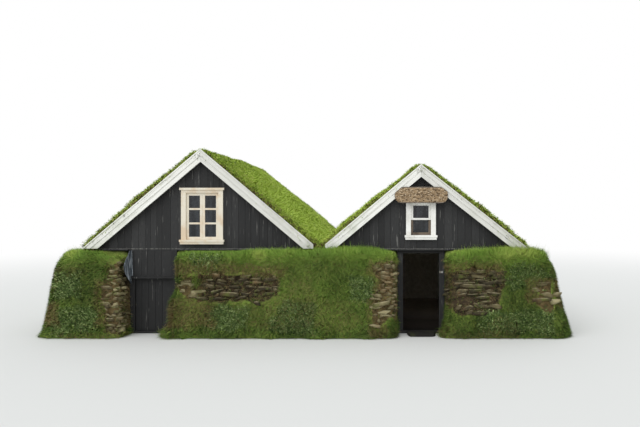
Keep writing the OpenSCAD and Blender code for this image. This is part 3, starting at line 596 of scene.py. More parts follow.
def patch(points, patches):
    """Share of some patches with uneven edges at points of the front, from 0 to 1."""
    x, _, z = points.T
    wobble = 0.12 * noise(points, 0.3, 3) + 0.06 * noise(points, 0.11, 4)
    share = np.zeros(len(points))
    for x0, z0, x1, z1, *_ in patches:
        inside = np.minimum.reduce([x - x0, x1 - x, z - z0, z1 - z])
        share = np.maximum(share, ease(inside + wobble, -PATCH_EDGE, PATCH_EDGE))
    return share


def bare(points):
    """Share of bare stone at points of the walls, from 0 to 1."""
    band = ease(points[:, 2], 0.25, 0.45) * (1 - ease(points[:, 2], 1.2, 1.4))
    elsewhere = ease(noise(points * [1, 1, 1.7], 0.95, 9), 0.34, 0.46) * band
    return np.where(on_front(points), patch(points, STONY), elsewhere)


def stone_kind(place):
    """How pale the stones and the earth are at a point of a wall, and how large the stones."""
    x, y, z = place
    for x0, z0, x1, z1, *kind in STONY:
        near = x0 - KIND_REACH < x < x1 + KIND_REACH and z0 - KIND_REACH < z < z1 + KIND_REACH
        if y < FRONT_Y and near:
            return kind
    return ELSEWHERE


def behind_felt(points):
    """Whether points of the wall end lie behind the felt sheet, where nothing stands out."""
    a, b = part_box("left_door_sheet")
    x, y, z = points.T
    return (np.abs(x - a.x) < 0.11) & (y > a.y - 0.05) & (z > a.z - 0.05) & (z < b.z - 0.12)


SWELL_FROM = (2.58, 2.75)
SWELL_TOP = (0.75, 1.0)
TRODDEN_FROM = (-4.4, -4.15)
TRODDEN_DIP = 0.09


def swelling(points):
    """Share of the thick grass that narrows the left doorway from the right, near the ground."""
    x, y, z = points.T
    return ease(-x, *SWELL_FROM) * (x > PANEL_X) * (y < FRONT_Y) * (1 - ease(z, *SWELL_TOP))


def turf_walls():
    mesh, points, normals = remeshed("turf_walls", WALLS, WALL_VOXEL)
    stony, felt_gap = bare(points), behind_felt(points).astype(float)
    free = ease(outside(points), 0.0, 0.12) * (normals[:, 2] > -0.5)
    lumps = 0.045 * noise(points, 0.9, 11) + 0.026 * noise(points, 0.34, 12)
    inset = GRASS_DEPTH * (1 - swelling(points)) + RECESS * (stony + felt_gap)
    shift = free * (lumps - inset) + (1 - free) * 0.006 * noise(points, 0.2, 14)
    level = points[:, 2] > WALL_H - 0.02
    points += normals * np.where(level & (free < 0.05), 0, shift)[:, None]
    trodden_and_shaded = ease(points[:, 0], *TRODDEN_FROM) * (points[:, 0] < PANEL_X)
    points[:, 2] -= TRODDEN_DIP * trodden_and_shaded * free * ease(points[:, 2], WALL_H - 0.3, WALL_H - 0.1)
    points = np.clip(points, REACH_LOW * [1, 1, 0], REACH_HIGH)
    # Painted shadow: near-black soil under the left door's drip boards, where the wall top dips, and behind
    # the felt sheet; both go to the attribute deep.
    shadow_under_drip = trodden_and_shaded * (1 - free) * ease(points[:, 2], WALL_H - 0.15, WALL_H - 0.05)
    shadow_behind_felt = felt_gap * (1 - ease(points[:, 2], 1.3, 1.45))
    return add_skin(
        "turf_walls", mesh, points, "wall_soil", WALLS, bare=stony,
        pale=[stone_kind(p)[0] for p in points], deep=0.8 * np.maximum(shadow_behind_felt, shadow_under_drip),
        indoors=1 - ease(outside(points), -0.22, -0.12))


def below_peak(points, side):
    """0 at the peak of a roof and about 1 at its foot."""
    node = side + "_roof_turf"
    return np.abs(points[:, 0] - apex(node)[0]) / ((high(node).x - low(node).x) / 2)


def roof_turf(side):
    node = side + "_roof_turf"
    mesh, points, normals = remeshed(node, [node], ROOF_VOXEL)
    toe_x = EAVE_X0 if side == "left" else EAVE_X1
    free = ease(normals[:, 2], 0.0, 0.35) * ease(np.abs(points[:, 0] - VALLEY_X), 0.03, 0.3)
    free *= ease(np.abs(points[:, 0] - toe_x), 0.0, 0.25)
    lumps = 0.045 * noise(points, 0.9, 21) + 0.018 * noise(points, 0.3, 22)
    full_verge = ease(np.abs(points[:, 1]), VERGE - 0.6, VERGE - 0.2)
    full_verge *= ease(below_peak(points, side), 0.05, 0.6)
    points += normals * (free * (lumps - GRASS_DEPTH * (1 - full_verge)))[:, None]
    at_verge = ease(np.abs(normals[:, 1]), 0.5, 0.9)
    points[:, 1] -= np.sign(points[:, 1]) * at_verge * (0.014 + 0.014 * noise(points, 0.12, 23))
    points = np.clip(points, REACH_LOW, REACH_HIGH)
    return add_skin(side + "_roof_sods", mesh, points, "roof_soil", [node],
                    bare=at_verge, pale=at_verge, indoors=np.zeros(len(points)))


# Field stones. Rays from outside the walls find where each one lies.
COURSE = (0.035, 0.115)
STONE_WIDE = (0.12, 0.42)
END_STONE_SHARE = 0.65
STONE_GAP = 0.02
STONE_CUTS = 3
STONE_PROUD = 0.055
STONE_POWER = 9.0
STONE_SHARE = 1.05
STONE_TRIES = 3
CORNER_DROP = 0.12
CAST_FROM = 1.0
CAST_REACH = 1.9
BEFORE_END = 0.3
OPEN_FACES = 4
LOWEST_STONE = 0.05
LAST_COURSE = 1.62


def rounded_block(cuts):
    """Points and triangles of a cube with rounded corners, from -1 to 1, with its faces cut in squares."""
    steps = np.linspace(-1, 1, cuts + 1)
    grid = np.array(np.meshgrid(steps, steps, indexing="ij")).reshape(2, -1)
    rows = np.arange(cuts)[:, None] * (cuts + 1) + np.arange(cuts)
    squares = rows.reshape(-1, 1) + [0, cuts + 1, cuts + 2, 1]
    points, faces = [], []
    for axis in range(3):
        for sign in (-1, 1):
            face = np.full((3, grid.shape[1]), float(sign))
            face[[(axis + 1) % 3, (axis + 2) % 3]] = grid
            faces.append(squares[:, ::sign] + len(points) * grid.shape[1])
            points.append(face.T)
    points, index = np.unique(np.round(np.concatenate(points), 6), axis=0, return_inverse=True)
    points /= (np.abs(points) ** STONE_POWER).sum(1, keepdims=True) ** (1 / STONE_POWER)
    return points, index.ravel()[np.concatenate(faces)][:, [0, 1, 2, 0, 2, 3]].reshape(-1, 3)


def stone_faces():
    """Upright faces of the walls: start corner, direction along it, direction out of it, and length."""
    x0, x1 = low("left_front_wall").x, high("right_front_wall").x
    y0, y1 = FOOT_FRONT_Y, high("left_back_wall").y
    ends = [high("left_front_wall").x, high("middle_front_wall").x]
    return [
        ((x0, y0 - CAST_FROM), (1, 0), (0, -1), x1 - x0),
        ((x1, y1 + CAST_FROM), (-1, 0), (0, 1), x1 - x0),
        ((x0 - CAST_FROM, y1), (0, -1), (-1, 0), y1 - y0),
        ((x1 + CAST_FROM, y0), (0, 1), (1, 0), y1 - y0),
        *[((end + BEFORE_END, y0), (0, 1), (1, 0), FRONT_Y - y0) for end in ends],
    ]


def one_stone(block, hit, normal, out, wide, course, large, rng):
    """Points of a block with a few corners knocked off, which lies in the wall a little tilted."""
    facing = np.array([*out, 0.0]) * 0.4 + np.array(normal) * 0.6
    facing[2] = np.clip(facing[2], -0.1, 0.15)
    facing /= np.linalg.norm(facing)
    side = np.cross([0, 0, 1], facing)
    side /= np.linalg.norm(side)
    up = np.cross(facing, side)
    tilt = rng.normal(0, 0.1)
    side, up = side * math.cos(tilt) + up * math.sin(tilt), up * math.cos(tilt) - side * math.sin(tilt)
    deep = rng.uniform(0.09, 0.12)
    thick = course * max(large, 1) * rng.uniform(0.85, 1.06)
    shape = block.copy()
    for _ in range(6):
        cut = unit(rng.normal(size=(1, 3)) * [1, 0.8, 0.6])[0]
        shape -= np.maximum(shape @ cut - rng.uniform(0.55, 1.05), 0)[:, None] * cut
    shape *= [wide * min(large, 1.25) / 2, thick / 2, deep]
    shape *= 1 + 0.18 * noise(shape + rng.uniform(0, 40, 3), 0.08, 5)[:, None]
    shape[:, 0] += shape[:, 1] * rng.normal(0, 0.4)
    centre = np.array(hit) - facing * (deep - STONE_PROUD - rng.uniform(-0.034, 0.022))
    return centre + shape[:, :1] * side + shape[:, 1:2] * up + shape[:, 2:] * facing


def field_stones(walls):
    """Flat stones in uneven courses wherever the walls are bare, and at the wall ends beside the doors."""
    rng = np.random.default_rng(41)
    tree = BVHTree.FromPolygons(
        [v.co for v in walls.data.vertices], [tuple(p.vertices) for p in walls.data.polygons])
    block, block_triangles = rounded_block(STONE_CUTS)
    stones, tones = [], []
    for number, (start, along, out, length) in enumerate(stone_faces()):
        wall_end = number >= OPEN_FACES
        start, along = np.array([*start, 0.0]), np.array([*along, 0.0])
        inward = Vector((-out[0], -out[1], 0))
        z = LOWEST_STONE
        while z < LAST_COURSE:
            course = rng.uniform(*COURSE)
            wave = rng.uniform(0, 6.28)
            u = rng.uniform(-0.1, 0.05)
            while u < length:
                wide = rng.uniform(*STONE_WIDE) * (END_STONE_SHARE if wall_end else 1.0)
                height = z + course / 2 + 0.02 * math.sin(2.3 * u + wave) + rng.uniform(-0.01, 0.01)
                for _ in range(STONE_TRIES):
                    middle = Vector(start + along * (u + wide / 2) + [0, 0, height])
                    hit, normal, _, far = tree.ray_cast(middle, inward, CAST_REACH)
                    corners = [middle - Vector(along * (0.4 * wide)), middle + Vector(along * (0.4 * wide))]
                    ends = [tree.ray_cast(corner, inward, (far or 0) + CORNER_DROP)[0] for corner in corners]
                    if hit is not None and None not in ends:
                        break
                    wide *= 0.6
                u += wide + rng.uniform(0.0, STONE_GAP)
                if hit is None or None in ends or hit.z < LOWEST_STONE:
                    continue
                if wall_end and hit.y > FRONT_Y - 0.05:
                    continue
                spot = np.array([hit])
                pale, large = stone_kind(hit)
                share = bare(spot)[0] * ~behind_felt(spot)[0] * STONE_SHARE / max(large, 1)
                if rng.random() > share or normal.z > 0.55:
                    continue
                stones.append(one_stone(block, hit, normal, out, wide, course, large, rng))
                tones.append(np.clip(pale + rng.normal(0, 0.18), 0.05, 1))
            z += course * 0.94
    count = len(stones)
    triangles = (block_triangles + len(block) * np.arange(count)[:, None, None]).reshape(-1, 3)
    mesh = triangle_mesh("field_stones", np.clip(np.concatenate(stones), REACH_LOW, REACH_HIGH), triangles,
                         tone=np.repeat(tones, len(block)), upper=np.tile(block[:, 1], count))
    add_piece("field_stones", mesh, "field_stone")


# Grass. Every blade is coloured by its tone and kind alone, so one map with a column for each tone
# and a band for each kind holds all their colours, from root to tip.
TONES = 64
GREEN, LEAF, DRY = 0, 1, 2
KINDS = 3
BAND_EDGE = 0.04
COLUMN_SHARE = 0.35
TURF_MAP = "OFBake"
FACE_BIAS = 1.5
NORMAL_SHARES = (0.75, 0.3, 0.14)
BEND = 0.55
UP = np.array([0, 0, 1.0])


class Tufts:
    """Blades in tufts at random on a piece: their roots, the surface's normals, and steps from the tuft."""

    def __init__(self, piece, per_m2, each, spread, seed, density):
        self.rng = rng = np.random.default_rng(seed)
        mesh = piece.data
        mesh.calc_loop_triangles()
        corners = np.zeros(len(mesh.loop_triangles) * 3, np.int32)
        mesh.loop_triangles.foreach_get("vertices", corners)
        a, b, c = vectors(mesh.vertices, "co")[corners.reshape(-1, 3).T]
        cross = np.cross(b - a, c - a)
        area = np.linalg.norm(cross, axis=1) / 2
        count = int(area.sum() * per_m2)
        chosen = rng.choice(len(area), count, p=area / area.sum())
        s, t = rng.random((2, count, 1))
        folded = s + t > 1
        s, t = np.where(folded, 1 - s, s), np.where(folded, 1 - t, t)
        points = a[chosen] + s * (b - a)[chosen] + t * (c - a)[chosen]
        normals = unit(cross)[chosen]
        keep = rng.random(count) < density(points, normals)
        self.normals = np.repeat(normals[keep], each, 0)
        self.tuft = np.repeat(np.arange(keep.sum()), each)
        self.count = len(self.tuft)
        step = rng.normal(0, spread, (self.count, 3))
        step -= (step * self.normals).sum(1)[:, None] * self.normals
        self.roots = np.repeat(points[keep], each, 0) + step
        self.step = step / spread

    def by_tuft(self):
        """One random number from 0 to 1 for all the blades of a tuft."""
        return self.rng.random(self.tuft.max() + 1)[self.tuft]

    def own(self, least=0.0, most=1.0):
        return self.rng.uniform(least, most, self.count)

    def wild(self, amount):
        return self.rng.normal(0, amount, (self.count, 3))


def blades(t, name, grow, fall, length, width, tone, kind, finish, bent=False):
    """Blades that face off the surface: bent kites, or plain spikes with a wide root."""
    grow, fall = unit(grow), unit(fall)
    roots, surface, count = t.roots, t.normals, t.count
    side = unit(np.cross(grow, t.wild(1) + FACE_BIAS * surface))
    facing = np.cross(side, grow)
    turned = (facing * surface).sum(1)[:, None] < 0
    side, facing = np.where(turned, -side, side), np.where(turned, -facing, facing)
    half = side * (width / 2)[:, None]
    middle = roots + grow * (BEND * length)[:, None]
    tip = middle + fall * ((1 - BEND) * length)[:, None]
    if bent:
        points = np.stack([roots, middle + half, tip, middle - half], axis=1)
        along, across = np.array([0, BEND, 1, BEND]), np.array([0, 1, 0, -1])
        faces = np.array([[0, 1, 3], [1, 2, 3]])
    else:
        points = np.stack([roots - half, roots + half, tip], axis=1)
        along, across = np.array([0, 0, 1]), np.array([-1, 1, 0])
        faces = np.array([[0, 1, 2]])
    each = len(along)
    near_boards = on_front(roots)[:, None] & (roots[:, 2] < WALL_H + 0.1)[:, None]
    near_boards = near_boards & (points[:, :, 2] < WALL_H + 0.5)
    y = points[:, :, 1]
    points[:, :, 1] = np.where(near_boards, np.minimum(y, FRONT_Y - 0.004), y)
    points = np.clip(points.reshape(-1, 3), REACH_LOW, REACH_HIGH)
    triangles = (each * np.arange(count)[:, None, None] + faces).reshape(-1, 3)
    tone = np.floor(np.clip(tone, 0, 1) * (TONES - 1)) / (TONES - 1)
    mesh = triangle_mesh(
        name, points, triangles, tip=np.tile(along, count), tone=np.repeat(tone, each),
        leaf=np.repeat(kind == LEAF, each), dry=np.repeat(kind == DRY, each))
    column = (np.floor(tone[:, None] * (TONES - 1)) + 0.5 + COLUMN_SHARE * across) / TONES
    band = (kind[:, None] + BAND_EDGE + (1 - 2 * BAND_EDGE) * along) / KINDS
    places = np.stack([column, band], axis=-1).reshape(-1, 2)
    layer = mesh.uv_layers.new(name=TURF_MAP)
    layer.uv.foreach_set("vector", places[triangles.ravel()].astype(np.float32).ravel())
    shade_smooth(mesh)
    by_surface, by_sky, by_blade = NORMAL_SHARES
    shading = unit(by_surface * surface + by_sky * UP + by_blade * facing)
    mesh.normals_split_custom_set_from_vertices(np.repeat(shading, each, 0))
    add_piece(name, mesh, finish)


ROOF_TUFTS = 1000
ROOF_EACH = 4
FRINGE_TUFTS = 620
FRINGE_EACH = 5
ROOF_SPREAD = 0.02


def roof_lie(points, side):
    """Which way the roof falls at some points, and how near they are to the ridge and to the verge."""
    from_peak = points[:, 0] - apex(side + "_roof_turf")[0]
    down = np.sign(from_peak)[:, None] * [1, 0, 0] - 0.8 * UP
    near_peak = np.exp(-np.abs(from_peak) / 0.22)
    return down, near_peak, ease(np.abs(points[:, 1]), VERGE - 0.14, VERGE - 0.01)


def roof_tone(t, side, near_peak, edge):
    """Tone of the roof grass, with painted shade that makes it deeper at the verges and on the front part of
    the slope between the gables.
    """
    patches = 0.12 * noise(t.roots, 1.3, 35) + 0.07 * noise(t.roots, 0.42, 36)
    own = 0.06 * (t.by_tuft() - 0.5) + 0.05 * (t.own() - 0.5)
    inner = side == "left" and t.roots[:, 0] > apex("left_roof_turf")[0]
    front_part = ease(-t.roots[:, 1], VERGE - 1.9, VERGE - 0.3)
    front_part = np.where(inner, 0.14, 0.2 if side == "left" else 0.06) * front_part
    # Painted shade: the tone falls at the verges (edge) and over the front part of the slopes.
    return 0.66 + patches + own - 0.26 * edge - 0.1 * near_peak - front_part


def roof_grass(side, sods, seed):
    """Short bright grass combed down the slopes."""
    def density(points, normals):
        return (normals[:, 2] > 0.2) * (points[:, 2] > WALL_H + 0.02)

    t = Tufts(sods, ROOF_TUFTS, ROOF_EACH, ROOF_SPREAD, seed, density)
    down, near_peak, edge = roof_lie(t.roots, side)
    lush = 0.5 + 0.5 * noise(t.roots, 0.35, 31)
    length = t.own(0.035, 0.065) * (0.85 + 0.4 * lush + 0.3 * t.by_tuft())
    wild = t.wild(0.3)
    grow = t.normals * 0.5 + down * 0.55 + wild + t.step * 0.1 + 0.2 * UP
    fall = t.normals * 0.4 + down * 0.5 + wild
    tone = roof_tone(t, side, near_peak, edge)
    dry_share = 0.02 + 0.08 * ease(noise(t.roots, 0.7, 37), 0.2, 0.6) + 0.12 * edge + 0.06 * near_peak
    kind = np.where(t.own() < dry_share, DRY, GREEN)
    blades(t, side + "_roof_grass", grow, fall, length, t.own(0.009, 0.015), tone, kind, "roof_grass")


def roof_fringe(side, sods, seed):
    """Longer bent grass at the ridge, and over the cut ends of the sods at the verges."""
    def density(points, normals):
        _, near_peak, edge = roof_lie(points, side)
        at_end = (np.abs(normals[:, 1]) > 0.5) & (points[:, 2] > WALL_H + 0.05)
        return np.where(at_end, 1.0, (normals[:, 2] > 0.2) * np.maximum(0.55 * near_peak, 0.9 * edge))

    t = Tufts(sods, FRINGE_TUFTS, FRINGE_EACH, ROOF_SPREAD, seed, density)
    down, near_peak, edge = roof_lie(t.roots, side)
    out = (np.sign(t.roots[:, 1]) * edge)[:, None] * [0, 1, 0]
    shaggy = 0.5 + 0.4 * t.by_tuft() + 0.7 * below_peak(t.roots, side) + 0.8 * near_peak * edge
    length = t.own(0.05, 0.1) * shaggy
    wild = t.wild(0.3)
    grow = t.normals * 0.6 + out * 0.35 + wild + t.step * 0.2 + 0.5 * UP
    fall = down * 0.4 + out * 0.45 + wild - 0.5 * edge[:, None] * UP
    tone = roof_tone(t, side, near_peak, 0.7 * edge)
    kind = np.where(t.own() < 0.1 + 0.14 * edge, DRY, GREEN)
    blades(t, side + "_roof_fringe", grow, fall, length, t.own(0.008, 0.013), tone, kind, "roof_grass", True)


# Rise of the grass on the front ledge at places along the house, lowest at the doorways
LEDGE_RISE = [
    (-5.2, 0.09), (-4.85, 0.14), (-4.5, 0.09), (-4.3, 0.0), (-3.8, 0.0), (-2.75, 0.03), (-1.5, 0.015),
    (-1.15, 0.1), (0.5, 0.16), (1.45, 0.15), (1.75, 0.03), (2.95, 0.0), (3.2, 0.06), (3.45, 0.16),
    (5.2, 0.19),
]
ELSEWHERE_RISE = 0.1
WISP_SHARE = 0.03
WALL_EACH = 4
TUFT_SPREAD = 0.04


def on_ledge(points, normals):
    """Share of the level top of the walls at some points, from 0 to 1."""
    return ease(normals[:, 2], 0.55, 0.85) * (points[:, 2] > WALL_H - 0.2)


def wall_grass(name, walls, seed, per_m2, region):
    """Grass, low leaves and dead grass on the outer faces of the walls, longest over the top edges."""
    def density(points, normals):
        open_air = outside(points) > np.where(points[:, 2] > WALL_H - 0.15, 0.075, 0.012)
        grown = (1 - 0.86 * bare(points)) * ~behind_felt(points)
        return region(points, on_ledge(points, normals)) * open_air * (normals[:, 2] > -0.45) * grown

    t = Tufts(walls, per_m2, WALL_EACH, TUFT_SPREAD, seed, density)
    points, normals = t.roots, t.normals
    x, _, z = points.T
    top = ease(z, WALL_H - 0.36, WALL_H - 0.08)
    ledge = on_ledge(points, normals)
    foot = 1 - ease(z, 0.0, 0.4)
    front = on_front(points)
    leafy = np.where(front, patch(points, LEAFY), ease(noise(points, 0.5, 34), 0.2, 0.4)) * (1 - ledge)
    dead_wild = ease(noise(points * [1, 1, 2], 0.7, 35), 0.15, 0.5)
    dead = np.where(front, np.maximum(patch(points, DEAD), 0.35 * dead_wild), 0.6 * dead_wild) * (1 - top)
    dead = np.maximum(dead, 0.8 * ease(bare(points), 0.05, 0.5))
    by_own, by_group = t.own(), t.by_tuft()
    kind = np.where(t.by_tuft() < 0.6 * leafy, LEAF, GREEN)
    kind = np.where(by_own < 0.06 - 0.045 * top + 0.8 * dead, DRY, kind)
    leaf = kind == LEAF
    rise = np.where(front, np.interp(x, *zip(*LEDGE_RISE)), ELSEWHERE_RISE)
    length = t.own(0.06, 0.11) * (0.8 + 0.4 * by_group) * (1 + 0.6 * top + 0.3 * foot)
    length = np.where(leaf, t.own(0.04, 0.075), length * (1 + 0.8 * swelling(points)))
    length = length * (1 - ledge) + (rise * t.own(0.35, 0.85) + 0.03) * ledge
    width = np.where(leaf, t.own(0.02, 0.034), t.own(0.005, 0.009))
    wisp = (ledge > 0.5) & (t.own() < WISP_SHARE)
    length, width = np.where(wisp, [length * 1.7, width * 0.8], [length, width])
    wild = t.wild(0.26)
    out = unit(normals * [1, 1, 0] + [0, 0, 1e-6])
    grow = normals * 0.72 + UP * (0.3 + 1.1 * ledge)[:, None] + wild + t.step * 0.2
    sag = (0.9 + 0.15 * top) * (1 - ledge) * ease(z, 0.02, 0.14) - 0.5 * ledge
    hang = out * 0.45 - UP * sag[:, None] + wild
    fall = np.where(leaf[:, None], normals * 0.7 + wild * 1.5, hang)
    olive = 0.18 * noise(points, 0.9, 38) + 0.14 * noise(points, 0.33, 39)
    right_end = x > high("right_door_frame").x
    # The tone rises towards the top edge, most at the right end, and falls a little at the foot: a yellower
    # green at the top, partly painted light from above, and painted shade at the foot.
    tone = 0.38 + olive + 0.24 * top + 0.02 * ledge - 0.03 * foot + 0.14 * top * right_end
    tone += (1 - 0.7 * top + 0.6 * foot) * (0.36 * (by_group - 0.5) + 0.28 * (t.own() - 0.5))
    tone = np.where(leaf, 0.15 + 0.85 * t.own() ** 2, tone)
    blades(t, name, grow, fall, length, width, tone, kind, "wall_grass")


# Timber
BOARD_GAP = 0.003
BOARD_STEP = 0.003
PLANK_BEVEL = 0.002
GABLE_BOARDS = (0.11, 0.19)
GABLE_SLIVER = 0.03
CLOSE = 1e-6


class Boards:
    """Flat boards with an outline in X and Z and a tone each, joined in one piece."""

    def __init__(self, seed, contrast=1.0):
        self.contrast = contrast
        self.rng = np.random.default_rng(seed)
        self.mesh = bmesh.new()
        self.tone = self.mesh.verts.layers.float.new("tone")

    def add(self, outline, y0, y1):
        tone = self.rng.random() * self.contrast
        front, back = ([self.mesh.verts.new((x, y, z)) for x, z in outline] for y in (y0, y1))
        for vertex in front + back:
            vertex[self.tone] = tone
        self.mesh.faces.new(front)
        self.mesh.faces.new(back[::-1])
        for side in zip(front, back, back[1:] + back[:1], front[1:] + front[:1]):
            self.mesh.faces.new(side)

    def row(self, x0, x1, narrow, wide, fixed=()):
        """Edges of boards of random width from x0 to x1, with an edge at each fixed place."""
        stops = sorted([x0, x1, *fixed])
        strips = []
        for x, end in zip(stops, stops[1:]):
            while x < end - CLOSE:
                step = self.rng.uniform(narrow, wide)
                if end - x - step < narrow:
                    step = end - x if end - x < wide * 1.3 else (end - x) / 2
                strips.append((x, min(x + step, end)))
                x += step
        return strips

    def piece(self, name, nodes, body="house"):
        bmesh.ops.recalc_face_normals(self.mesh, faces=self.mesh.faces)
        mesh = bpy.data.meshes.new(name)
        self.mesh.to_mesh(mesh)
        self.mesh.free()
        piece = add_piece(name, mesh, "tarred_boards", nodes, body)
        set_up(piece.modifiers.new("bevel", "BEVEL"), width=PLANK_BEVEL, segments=1)


def gable_boards(node, window, y0, y1, seed):
    """Upright boards under the two roof lines, cut round the lining of the window where it has one."""
    boards = Boards(seed)
    x0, x1, z0 = low(node).x, high(node).x, low(node).z
    peak_x, peak_z = apex(node)

    def roof(x):
        foot = x0 if x < peak_x else x1
        return z0 + (peak_z - z0) * abs(x - foot) / abs(peak_x - foot)

    hole = ()
    if window:
        lining = [p for p in corners_of(window) if p.y > FRONT_Y + BOARD_T]
        xs, zs = [p.x for p in lining], [p.z for p in lining]
        hole = (min(xs), max(xs), min(zs), max(zs))
    for a, b in boards.row(x0 + GABLE_SLIVER, x1 - GABLE_SLIVER, *GABLE_BOARDS, fixed=hole[:2]):
        left, right = a + BOARD_GAP / 2, b - BOARD_GAP / 2
        top = [(left, roof(left))]
        if left < peak_x < right:
            top.append((peak_x, peak_z))
        top.append((right, roof(right)))
        front = y0 + boards.rng.uniform(0, BOARD_STEP)
        if hole and hole[0] - CLOSE <= a and b <= hole[1] + CLOSE:
            boards.add([(left, z0), (left, hole[2]), (right, hole[2]), (right, z0)], front, y1)
            boards.add([(left, hole[3]), *top, (right, hole[3])], front, y1)
        else:
            boards.add([(left, z0), *top, (right, z0)], front, y1)
    boards.piece(node + "_planks", [node])


def flat_boards(name, node, narrow, wide, seed, body="house"):
    """Upright boards that fill a node's box."""
    boards = Boards(seed, 0.4)
    a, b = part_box(node)
    for x0, x1 in boards.row(a.x, b.x, narrow, wide):
        left = x0 if x0 == a.x else x0 + BOARD_GAP / 2
        right = x1 if abs(x1 - b.x) < CLOSE else x1 - BOARD_GAP / 2
        front = a.y + boards.rng.uniform(0, BOARD_STEP)
        boards.add([(left, a.z), (left, b.z), (right, b.z), (right, a.z)], front, b.y)
    boards.piece(name, [node], body)


def driftwood_plank():
    mesh, points, normals = remeshed("driftwood_plank", ["name_plank"], 0.012)
    a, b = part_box("name_plank")
    local = np.abs((points - np.array((a + b) / 2)) / np.array((b - a) / 2))
    rim = ease(np.maximum(local[:, 2], local[:, 0] ** 6), 0.72, 0.98)
    fibres = points * [1, 3, 6]
    grain = noise(fibres, 0.12, 51) + 0.5 * noise(fibres, 0.05, 52)
    points -= normals * (0.0035 + 0.0035 * grain)[:, None]
    facing = ease(-normals[:, 1], 0.5, 0.9)
    points[:, 1] += facing * 0.014 * rim
    add_skin("driftwood_plank", mesh, points, "driftwood", ["name_plank"],
             rim=np.maximum(rim, 1 - facing))


def door_stone():
    mesh, points, normals = remeshed("door_stone", ["doorstep"], 0.018)
    points -= normals * (0.006 + 0.008 * noise(points, 0.09, 53))[:, None] * (points[:, 2:] > 0.01)
    points[:, 2] = np.maximum(points[:, 2], 0)
    flat = np.zeros(len(points))
    add_skin("door_stone", mesh, points, "step_stone", ["doorstep"], tone=flat, upper=flat)


# Felt sheet beside the left door
FELT_T = 0.004
FELT_ROWS = 28
FELT_COLUMNS = 14
FELT_LEG_COLUMNS = 3
FELT_HEAD_SHARE = 0.3
FELT_FOOT_SHARE = 0.38
FELT_WIDEST = 0.52


def felt_sheet():
    """Felt that hangs from the drip board: a leg on the post, and a loose flap along the wall end."""
    a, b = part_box("left_door_sheet")
    leg_foot = min(p.z for p in corners_of("left_door_sheet") if p.x > b.x - FELT_T)
    leg_w, reach, drop = b.x - a.x, b.y - a.y, b.z - a.z
    flap_x, post_y = a.x + FELT_T, b.y - FELT_T
    mesh = bmesh.new()
    grid = {}
    for row in range(FELT_ROWS + 1):
        down = row / FELT_ROWS
        z = b.z - drop * down
        opened = FELT_HEAD_SHARE + (1 - FELT_HEAD_SHARE) * ease(down, 0, FELT_WIDEST)
        cut_back = (1 - FELT_FOOT_SHARE) * max(0.0, (down - FELT_WIDEST) / (1 - FELT_WIDEST)) ** 1.7
        flap_w = reach * opened * (1 - cut_back) - FELT_T
        row_leg = leg_w * (0.2 + 0.6 * down)
        for column in range(-FELT_LEG_COLUMNS, 0):
            grid[row, column] = mesh.verts.new((flap_x - row_leg * column / FELT_LEG_COLUMNS, post_y, z))
        for column in range(FELT_COLUMNS + 1):
            out = column / FELT_COLUMNS
            folds = 0.011 * math.sin(9.5 * out + 3.2 * down) + 0.006 * math.sin(17 * out - 5 * down)
            folds *= out * ease(down, 0.0, 0.3)
            belly = -0.04 * math.sin(math.pi * min(1.0, 0.12 + down)) * out
            curl = 0.05 * down ** 5 * out
            place = (flap_x + 0.006 + folds + belly + curl, post_y - flap_w * out, z + 0.006 * folds)
            grid[row, column] = mesh.verts.new(place)
    for row in range(FELT_ROWS):
        for column in range(-FELT_LEG_COLUMNS, FELT_COLUMNS):
            if column >= 0 or grid[row + 1, column].co.z >= leg_foot:
                square = [(row, column), (row + 1, column), (row + 1, column + 1), (row, column + 1)]
                mesh.faces.new([grid[place] for place in square])
    bmesh.ops.delete(mesh, geom=[v for v in mesh.verts if not v.link_faces], context="VERTS")
    data = bpy.data.meshes.new("felt_sheet")
    mesh.to_mesh(data)
    mesh.free()
    shade_smooth(data)
    piece = add_piece("felt_sheet", data, "grey_felt", ["left_door_sheet"])
    set_up(piece.modifiers.new("thick", "SOLIDIFY"), thickness=FELT_T, offset=0)
    set_up(piece.modifiers.new("fine", "SUBSURF"), levels=1, render_levels=1)


# Stage
FLOOR_REACH = 90
FLOOR_Z = -0.002
PALE_FLOOR = (214, 214, 211)
FADE_TO_WHITE = (9, 34)
EARTH_Z = 0.001
EARTH_INSET = 0.3
SHADED_EARTH_COLOURS = ((22, 19, 17), (82, 75, 67), (196, 184, 166), (226, 216, 200))
ROOM_DEPTH = 6.0
WHITE = (255, 255, 255)
SKY_COLOUR = (0.94, 0.97, 1.0, 1)
SKY_STRENGTH = 0.9
KEY_ENERGY = 1.42
KEY_WIDTH = 60
KEY_TILT = 42
KEY_TURN = -28


def flat_sheet(name, x0, y0, x1, y1, z, material):
    mesh = bpy.data.meshes.new(name)
    mesh.from_pydata([(x0, y0, z), (x1, y0, z), (x1, y1, z), (x0, y1, z)], [], [(0, 1, 2, 3)])
    mesh.materials.append(material)
    return new_object(name, mesh)


def make_floor():
    """Pale floor that turns white far away, where only the camera sees it."""
    f = Finish("floor", 0.9, 0.1)
    far = f.node("VectorMath", {0: f.where}, "Value", operation="LENGTH")
    white = f.node("Emission", {"Color": WHITE, "Strength": 1.0})
    share = f.times(f.spread(far, *FADE_TO_WHITE), f.ray("Camera"))
    both = f.node("MixShader", {0: share, 1: f.shader.outputs[0], 2: white})
    f.feed(f.tree.nodes["Material Output"], {"Surface": both})
    edge = FLOOR_REACH
    floor = flat_sheet("floor", -edge, -edge, edge, edge, FLOOR_Z, f.done(PALE_FLOOR))


